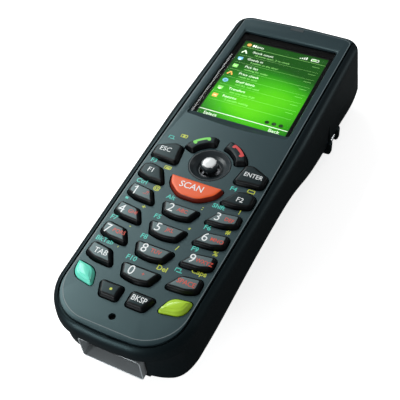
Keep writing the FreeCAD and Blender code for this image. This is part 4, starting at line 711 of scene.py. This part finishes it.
class TERMINAL_OT_keys(bpy.types.Operator):
    """Builds the twenty-three keys with rounded shoulders, crowned tops and their legends"""
    bl_idname = "terminal.keys"
    bl_label = "Keys"

    def execute(self, context):
        size = sizes()
        lift = size.print_lift / MM
        side_black = moulded("Key side black", (0.003, 0.004, 0.005), rough=0.4, bump=0.1, specular=0.25)
        # The orange key's sides are a darker orange than its top: painted shade on the sides of the same orange
        # plastic.
        shaded_orange_side = moulded("Orange key side", (0.22, 0.018, 0.006), rough=0.4, bump=0.08)
        for part in frame["record"]["subparts"]:
            node, slot = part["node"], part["material_slot"]
            if not node.startswith("key_"):
                continue
            coloured = slot in ("key_teal", "key_lime")
            crown = (size.leaf_crown if coloured else size.key_crown) / MM
            shoulder = size.key_shoulder / MM * (1.35 if coloured else 1.0)
            form = KeyForm(node, crown, shoulder)
            top = finish("key_grey" if node == "key_tab" or node == "key_space" else slot)
            side = {"key_teal": top, "key_lime": top, "key_orange": shaded_orange_side}.get(slot, side_black)
            shoulder_rows = 5 if side is not side_black else 1
            cap = form.mesh(node + "_cap", side, top, shoulder_rows)
            place_piece(node + "_cap", cap, node, (node,))
            marks = Marks(inks(), lambda x, y, form=form: form.height_at(x, y) + lift)
            self.legend(node, form, marks, size.digit_height / MM)
            if marks.count:
                place_piece(node + "_legend", marks.mesh(node + "_legend"), node)
        return {"FINISHED"}

    def legend(self, node, form, marks, digit_height):
        name = node[4:]
        white, red = INK_ORDER.index("white"), INK_ORDER.index("red")
        if name.isdigit():
            x, y = form.middle
            inner = {0: -2.2, 1: -2.6, 2: -2.2}[(int(name) - 1) % 3] if name != "0" else -2.2
            if name == "1":
                tall = digit_height / 2
                marks.ribbon([(x + inner - 0.45, y + 0.62 * tall), (x + inner + 0.25, y + tall)], 0.36, white)
                marks.ribbon([(x + inner + 0.3, y + tall), (x + inner + 0.3, y - tall)], 0.42, white)
            else:
                marks.text(name, x + inner, y + 0.1, digit_height, white, bold=0.0, wide=0.95)
            marks.text(NUMBER_LETTERS[name], x + inner + 3.9, y + 0.05, 1.35, red, bold=0.008, wide=0.92)
        for words, x, y, cap, tint, wide in WORDS.get(node, ()):
            marks.text(words, x, y, cap, INK_ORDER.index(tint), bold=0.006, wide=wide)
        if name == "point":
            marks.disc(-4.3, -61.6, 0.42, INK_ORDER.index("lime"))
        if name in ("call", "end"):
            tint = INK_ORDER.index("green" if name == "call" else "crimson")
            start, end = (142.0, 116.0) if name == "call" else (64.0, 38.0)
            marks.ribbon(arc_points(11.1, start, end), 1.0, tint)
            for angle in (start, end):
                marks.ribbon([arc_points(10.5, angle, angle, 1)[0], arc_points(11.0, angle, angle, 1)[0]], 1.2, tint)


PANEL_LABELS = (  # words, x, y, ink
    ("F3", -18.2, -10.6, "mint"), ("Ctrl", -17.3, -20.6, "mint"), ("F7", -17.9, -37.3, "mint"),
    ("BkTab", -15.9, -46.2, "mint"), ("Alt", -5.3, -23.1, "mint"), ("F5", -5.5, -31.7, "mint"),
    ("F8", -5.5, -40.2, "mint"), ("F10", -5.0, -48.8, "mint"), ("F4", 11.6, -12.2, "mint"),
    ("Shift", 10.4, -20.8, "mint"), ("F6", 10.8, -29.7, "mint"), ("F9", 10.9, -38.5, "mint"),
    (":", 6.0, -23.5, "lime"), ("*", 5.9, -32.3, "lime"), ("/", 5.8, -40.3, "lime"), ("Del", 5.2, -48.7, "lime"),
    ("+", -11.4, -30.0, "lime"), ("-", -11.4, -38.6, "lime"), ("'", -10.9, -46.9, "lime"),
    ("@", -11.3, -21.5, "lime"), ("!", 17.3, -20.4, "lime"), ("#", 17.3, -29.1, "lime"),
    ("%", 17.2, -37.7, "lime"), ("Caps", 15.8, -45.9, "lime"),
)


class TERMINAL_OT_labels(bpy.types.Operator):
    """Prints the small labels on the panel beside the keys"""
    bl_idname = "terminal.labels"
    bl_label = "Panel labels"

    def execute(self, context):
        size = sizes()
        level = PANEL_Z + size.print_lift / MM
        marks = Marks(inks(), lambda x, y: np.full(len(x), level))
        cap = size.label_height / MM
        mint, lime = INK_ORDER.index("mint"), INK_ORDER.index("lime")
        for words, x, y, tint in PANEL_LABELS:
            marks.text(words, x, y, cap if words not in "*-'" else cap * 0.8, INK_ORDER.index(tint), bold=0.02)
        for x, y in ((-17.8, 1.3), (9.9, -47.3)):
            marks.ribbon([(x - 1.0, y - 0.5), (x - 1.0, y + 0.6), (x + 0.6, y + 0.6), (x + 0.6, y - 0.2)], 0.28, mint)
            marks.bar(x - 0.5, x + 1.3, y - 0.75, y - 0.45, mint)
        marks.bar(-18.8, -17.8, -29.2, -28.3, mint)
        for x, y in ((-14.0, 3.3), (-12.3, -12.1), (17.2, -11.3)):
            marks.ribbon([(x - 1.1, y - 0.6), (x - 1.1, y + 0.6), (x + 1.1, y + 0.6), (x + 1.1, y - 0.6),
                          (x - 0.9, y - 0.6)], 0.3, lime)
        marks.disc(-14.0, 3.3, 0.45, lime)
        marks.bar(-12.9, -11.6, -12.5, -11.9, lime)
        place_piece("panel_labels", marks.mesh("panel_labels"), "case")
        self.painted_edge_highlight(level)
        return {"FINISHED"}


    def painted_edge_highlight(self, level):
        """A painted highlight along the panel's outer edge: a lighter band just inside it, in place of the light caught
        by the edge's rounding.
        """
        mesh = NODES["front_panel"].data
        points = np.empty(len(mesh.vertices) * 3, np.float32)
        mesh.vertices.foreach_get("co", points)
        points = points.reshape(-1, 3) / MM
        flat = points[np.abs(points[:, 2] - PANEL_Z) < 0.02][:, :2].astype(float)
        hull = flat[convex_hull_2d([Vector(point) for point in flat])]
        if np.sum(hull[:, 0] * np.roll(hull[:, 1], -1) - np.roll(hull[:, 0], -1) * hull[:, 1]) < 0:
            hull = hull[::-1]
        loop = evenly(hull, 720)
        inner = inwards(loop)
        start, end = 0.08, 0.34  # mm in from the panel's edge
        rings = np.concatenate([loop + inner * start, loop + inner * end])
        flat_level = np.full((len(rings), 1), level - 0.01)
        # Lighter than the panel's paint: a painted highlight where light would catch the panel's edge.
        edge_highlight_paint = moulded("Thin paint edge", (0.13, 0.165, 0.175), rough=0.35, bump=0.05, mottle=250.0)
        line = mesh_from("panel_edge_highlight", np.hstack([rings, flat_level]), grid_faces(2, len(loop)), [edge_highlight_paint],
                         smooth=False)
        place_piece("panel_edge_highlight", line, "case")


class TERMINAL_OT_display(bpy.types.Operator):
    """Builds the lit display, its printed border, its marks and the window over them"""
    bl_idname = "terminal.display"
    bl_label = "Display"

    def execute(self, context):
        lift = sizes().print_lift / MM
        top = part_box("display_module")[1].z / MM
        half, foot, head = 33.84 / 2, 62.7 - 45.12, 62.7
        level = top + lift
        lit = [(-half, foot, level), (half, foot, level), (half, head, level), (-half, head, level)]
        glow = screen_glow("Lit display", (-half, foot), (half, head))
        place_piece("display_image", mesh_from("display_image", lit, [(0, 1, 2, 3)], [glow], smooth=False), "case")
        self.marks(level + lift, half, foot, head)
        window = eased_copy("display_window", "display_window_eased", "case", 0.12 * MM, "clear_window")
        window.data.polygons.foreach_set("use_smooth", np.full(len(window.data.polygons), False))
        self.border(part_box("display_window"), half + 0.25, foot - 0.25, head + 0.25)
        return {"FINISHED"}

    def border(self, window, half, foot, head):
        """A printed black frame on the underside of the window, open over the lit area."""
        low = window[0] / MM
        high = window[1] / MM
        inside_glass = 0.05
        z = low.z + inside_glass
        outer = [(low.x + 0.4, low.y + 0.4), (high.x - 0.4, low.y + 0.4), (high.x - 0.4, high.y - 0.4),
                 (low.x + 0.4, high.y - 0.4)]
        inner = [(-half, foot), (half, foot), (half, head), (-half, head)]
        points = [(*p, z) for p in outer + inner]
        faces = [(i, (i + 1) % 4, 4 + (i + 1) % 4, 4 + i) for i in range(4)]
        black = moulded("Window border print", (0.002, 0.0025, 0.003), rough=0.5, bump=0.02, specular=0.05)
        place_piece("display_border", mesh_from("display_border", points, faces, [black], smooth=False), "case")

    def marks(self, level, half, foot, head):
        """A plain menu of the builder's own: a status row, eight lines with small signs, and a foot row."""
        tints = [ink("Lit white", (0.9, 1.0, 0.85), 0.85), ink("Lit pale green", (0.34, 0.78, 0.2), 0.75),
                 ink("Lit amber", (0.95, 0.5, 0.12), 0.75), ink("Lit blue", (0.25, 0.6, 0.85), 0.75),
                 ink("Shaded green", (0.003, 0.04, 0.001), 0.5)]
        marks = Marks(tints, lambda x, y: np.full(len(x), level))
        upper = Marks(tints, lambda x, y: np.full(len(x), level + 0.02))
        upper.text("Menu", -half + 6.0, head - 2.0, 1.45, 0, bold=0.012)
        upper.disc(-half + 2.2, head - 2.0, 0.9, 2)
        for i in range(4):
            upper.bar(half - 10.6 + i * 0.8, half - 10.1 + i * 0.8, head - 2.8, head - 2.4 + 0.4 * i, 0)
        upper.ribbon([(half - 6.0, head - 2.6), (half - 6.0, head - 1.4), (half - 3.2, head - 1.4),
                      (half - 3.2, head - 2.6), (half - 5.8, head - 2.6)], 0.3, 0)
        upper.bar(half - 5.6, half - 4.1, head - 2.4, head - 1.6, 1)
        marks.bar(-half, half, head - 3.75, head - 3.6, 1)
        rows = (("Stock count", "14 items open, 2 to check", 0, 2), ("Goods in", "3 pallets at the door", 3, 3),
                ("Pick list", "nothing for today", 1, 1), ("Price check", "ready to scan", 2, 2),
                ("Shelf labels", "roll A5, half used", 3, 0), ("Transfers", "last one sent 9:20", 1, 3),
                ("Returns", "2 parcels waiting", 2, 1))
        for i, (words, small, tint, sign) in enumerate(rows):
            y = head - 6.4 - 4.55 * i
            if sign == 0:
                upper.disc(-half + 2.2, y, 1.1, tint)
                upper.disc(-half + 2.2, y, 0.5, 4)
            elif sign == 1:
                upper.bar(-half + 1.2, -half + 3.2, y - 1.0, y + 1.0, tint)
                upper.bar(-half + 1.6, -half + 2.8, y - 0.2, y + 0.2, 0)
            elif sign == 2:
                upper.ribbon([(-half + 1.3, y - 0.8), (-half + 2.2, y + 0.8), (-half + 3.1, y - 0.8)], 0.55, tint)
            else:
                upper.bar(-half + 1.2, -half + 3.2, y - 0.5, y + 1.0, tint)
                upper.disc(-half + 2.2, y - 0.4, 0.6, 0)
            upper.text(words, -half + 4.6 + 0.45 * len(words), y + 0.75, 1.2, 0, bold=0.008)
            upper.text(small, -half + 5.2 + 0.35 * len(small), y - 1.1, 0.95, 1, bold=0.004)
            upper.bar(half - 4.4, half - 1.6, y + 0.6, y + 0.75, 1)
            marks.bar(-half + 1.0, half - 1.0, y - 2.35, y - 2.27, 1)
        marks.bar(-half, half, foot + 3.0, foot + 3.35, 0)
        for i in range(3):
            upper.disc(half - 8.4 + 2.6 * i, foot + 4.9, 0.85, 4)
        upper.text("Select", -half + 5.0, foot + 1.5, 1.5, 0, bold=0.01)
        upper.text("Back", half - 4.4, foot + 1.5, 1.5, 0, bold=0.01)
        place_piece("display_bands", marks.mesh("display_bands"), "case")
        place_piece("display_marks", upper.mesh("display_marks"), "case")


class TERMINAL_OT_stick(bpy.types.Operator):
    """Softens the joystick and paints its skirt dark below the white tip"""
    bl_idname = "terminal.stick"
    bl_label = "Joystick"

    def execute(self, context):
        stick = eased_copy("joystick_cap", "joystick_cap_eased", "joystick_cap", 0.1 * MM, "stick")
        mesh = stick.data
        mesh.materials.append(finish("dish"))
        centres = np.empty(len(mesh.polygons) * 3, np.float32)
        mesh.polygons.foreach_get("center", centres)
        x, y, z = (centres.reshape(-1, 3) / MM).T
        tip_foot, tip_radius = 1.18, 2.42  # mm over the panel, and from the stick's middle
        skirt = (z < PANEL_Z + tip_foot) | (np.hypot(x - STICK[0], y - STICK[1]) > tip_radius)
        mesh.polygons.foreach_set("material_index", skirt.astype(np.int32))
        return {"FINISHED"}


class TERMINAL_OT_stage(bpy.types.Operator):
    """Sets the pale floor, the studio lamps, the sky and the camera"""
    bl_idname = "terminal.stage"
    bl_label = "Stage"

    def execute(self, context):
        scene = context.scene
        scene.view_settings.view_transform = "Standard"
        self.floor()
        self.sky(scene)
        for name, place, aim, width, length, power, tint in (
                ("key lamp", (-0.38, 0.18, 0.4), (-0.38, 0.18, 0.0), 0.3, 0.62, 4.2, (0.95, 1.0, 1.0)),
                ("foot lamp", (-0.16, -0.42, 0.1), (0.0, -0.075, 0.015), 0.2, 0.1, 0.9, (0.95, 0.98, 1.0)),
                ("rear lamp", (0.36, 0.34, 0.12), (0.02, 0.05, 0.01), 0.1, 0.1, 0.2, (0.95, 0.98, 1.0))):
            self.lamp(name, place, aim, width, length, power, tint)
        self.camera(scene)
        return {"FINISHED"}

    def floor(self):
        made, shader = surface("Pale studio floor")
        nodes, links = made.node_tree.nodes, made.node_tree.links
        shader.inputs["Base Color"].default_value = (0.86, 0.86, 0.86, 1.0)
        shader.inputs["Roughness"].default_value = 0.9
        path = nodes.new("ShaderNodeLightPath")
        glow = nodes.new("ShaderNodeEmission")
        add = nodes.new("ShaderNodeAddShader")
        scaled = nodes.new("ShaderNodeMath")
        scaled.operation = "MULTIPLY"
        scaled.inputs[1].default_value = 0.75
        links.new(path.outputs["Is Camera Ray"], scaled.inputs[0])
        links.new(scaled.outputs[0], glow.inputs["Strength"])
        dim, mix = nodes.new("ShaderNodeBsdfDiffuse"), nodes.new("ShaderNodeMixShader")
        dim.inputs["Color"].default_value = (0.12, 0.12, 0.12, 1.0)
        links.new(path.outputs["Is Glossy Ray"], mix.inputs["Fac"])
        links.new(shader.outputs[0], mix.inputs[1])
        links.new(dim.outputs[0], mix.inputs[2])
        links.new(mix.outputs[0], add.inputs[0])
        links.new(glow.outputs[0], add.inputs[1])
        links.new(add.outputs[0], nodes["Material Output"].inputs["Surface"])
        reach, drop = 4000, -0.05
        corners = [(-reach, -reach, drop), (reach, -reach, drop), (reach, reach, drop), (-reach, reach, drop)]
        mesh = mesh_from("studio_floor", corners, [(0, 1, 2, 3)], [made], smooth=False)
        floor = bpy.data.objects.new("studio_floor", mesh)
        bpy.context.scene.collection.objects.link(floor)

    def sky(self, scene):
        world = bpy.data.worlds.new("Studio sky")
        scene.world = world
        world.use_nodes = True
        nodes, links = world.node_tree.nodes, world.node_tree.links
        ground = nodes["Background"]
        ground.inputs["Color"].default_value = (1.0, 1.0, 1.0, 1.0)
        path = nodes.new("ShaderNodeLightPath")
        level, dark = (nodes.new("ShaderNodeMath") for _ in range(2))
        level.operation = "MULTIPLY_ADD"
        level.inputs[1].default_value = 0.68
        level.inputs[2].default_value = 0.32
        links.new(path.outputs["Is Camera Ray"], level.inputs[0])
        dark.operation = "MULTIPLY_ADD"
        dark.inputs[1].default_value = -0.2
        links.new(path.outputs["Is Glossy Ray"], dark.inputs[0])
        links.new(level.outputs[0], dark.inputs[2])
        links.new(dark.outputs[0], ground.inputs["Strength"])

    def lamp(self, name, place, aim, width, length, power, tint):
        data = bpy.data.lights.new(name, "AREA")
        data.shape = "RECTANGLE"
        data.size = width
        data.size_y = length
        data.energy = power
        data.color = tint
        lamp = bpy.data.objects.new(name, data)
        lamp.location = place
        lamp.rotation_euler = (Vector(aim) - Vector(place)).to_track_quat("-Z", "Y").to_euler()
        bpy.context.scene.collection.objects.link(lamp)

    def camera(self, scene):
        data = bpy.data.cameras.new("photo camera")
        data.lens = 63.18
        data.sensor_width = 36.0
        camera = bpy.data.objects.new("photo camera", data)
        right = Vector((0.8955, 0.44, -0.0666))
        forward = Vector((-0.3343, 0.5664, -0.7533)).normalized()
        right = (right - forward * right.dot(forward)).normalized()
        up = right.cross(forward)
        turn = Matrix((right, up, -forward)).transposed().to_4x4()
        camera.matrix_world = Matrix.Translation(Vector((77.6, -145.8, 196.5)) * MM) @ turn
        scene.collection.objects.link(camera)
        scene.camera = camera


class TERMINAL_PT_panel(bpy.types.Panel):
    """Lists the terminal's pieces and their settings"""
    bl_idname = "TERMINAL_PT_panel"
    bl_label = "Data terminal"
    bl_space_type = "VIEW_3D"
    bl_region_type = "UI"
    bl_category = "Terminal"

    def draw(self, context):
        for settings in (context.scene.terminal_sizes, context.scene.terminal_colours):
            for name in settings.bl_rna.properties.keys():
                if name not in ("rna_type", "name"):
                    self.layout.prop(settings, name)
        for operator in OPERATORS:
            self.layout.operator(operator.bl_idname)


OPERATORS = (TERMINAL_OT_finishes, TERMINAL_OT_case, TERMINAL_OT_keys, TERMINAL_OT_labels, TERMINAL_OT_display,
             TERMINAL_OT_stick, TERMINAL_OT_stage)
CLASSES = (TerminalSizes, TerminalColours, *OPERATORS, TERMINAL_PT_panel)


def register():
    for kind in CLASSES:
        bpy.utils.register_class(kind)
    bpy.types.Scene.terminal_sizes = PointerProperty(type=TerminalSizes)
    bpy.types.Scene.terminal_colours = PointerProperty(type=TerminalColours)


def unregister():
    del bpy.types.Scene.terminal_colours
    del bpy.types.Scene.terminal_sizes
    for kind in reversed(CLASSES):
        bpy.utils.unregister_class(kind)


def main():
    register()
    bpy.ops.terminal.finishes()
    bpy.ops.terminal.case()
    bpy.ops.terminal.keys()
    bpy.ops.terminal.labels()
    bpy.ops.terminal.display()
    bpy.ops.terminal.stick()
    bpy.ops.terminal.stage()


if __name__ == "__main__":
    main()
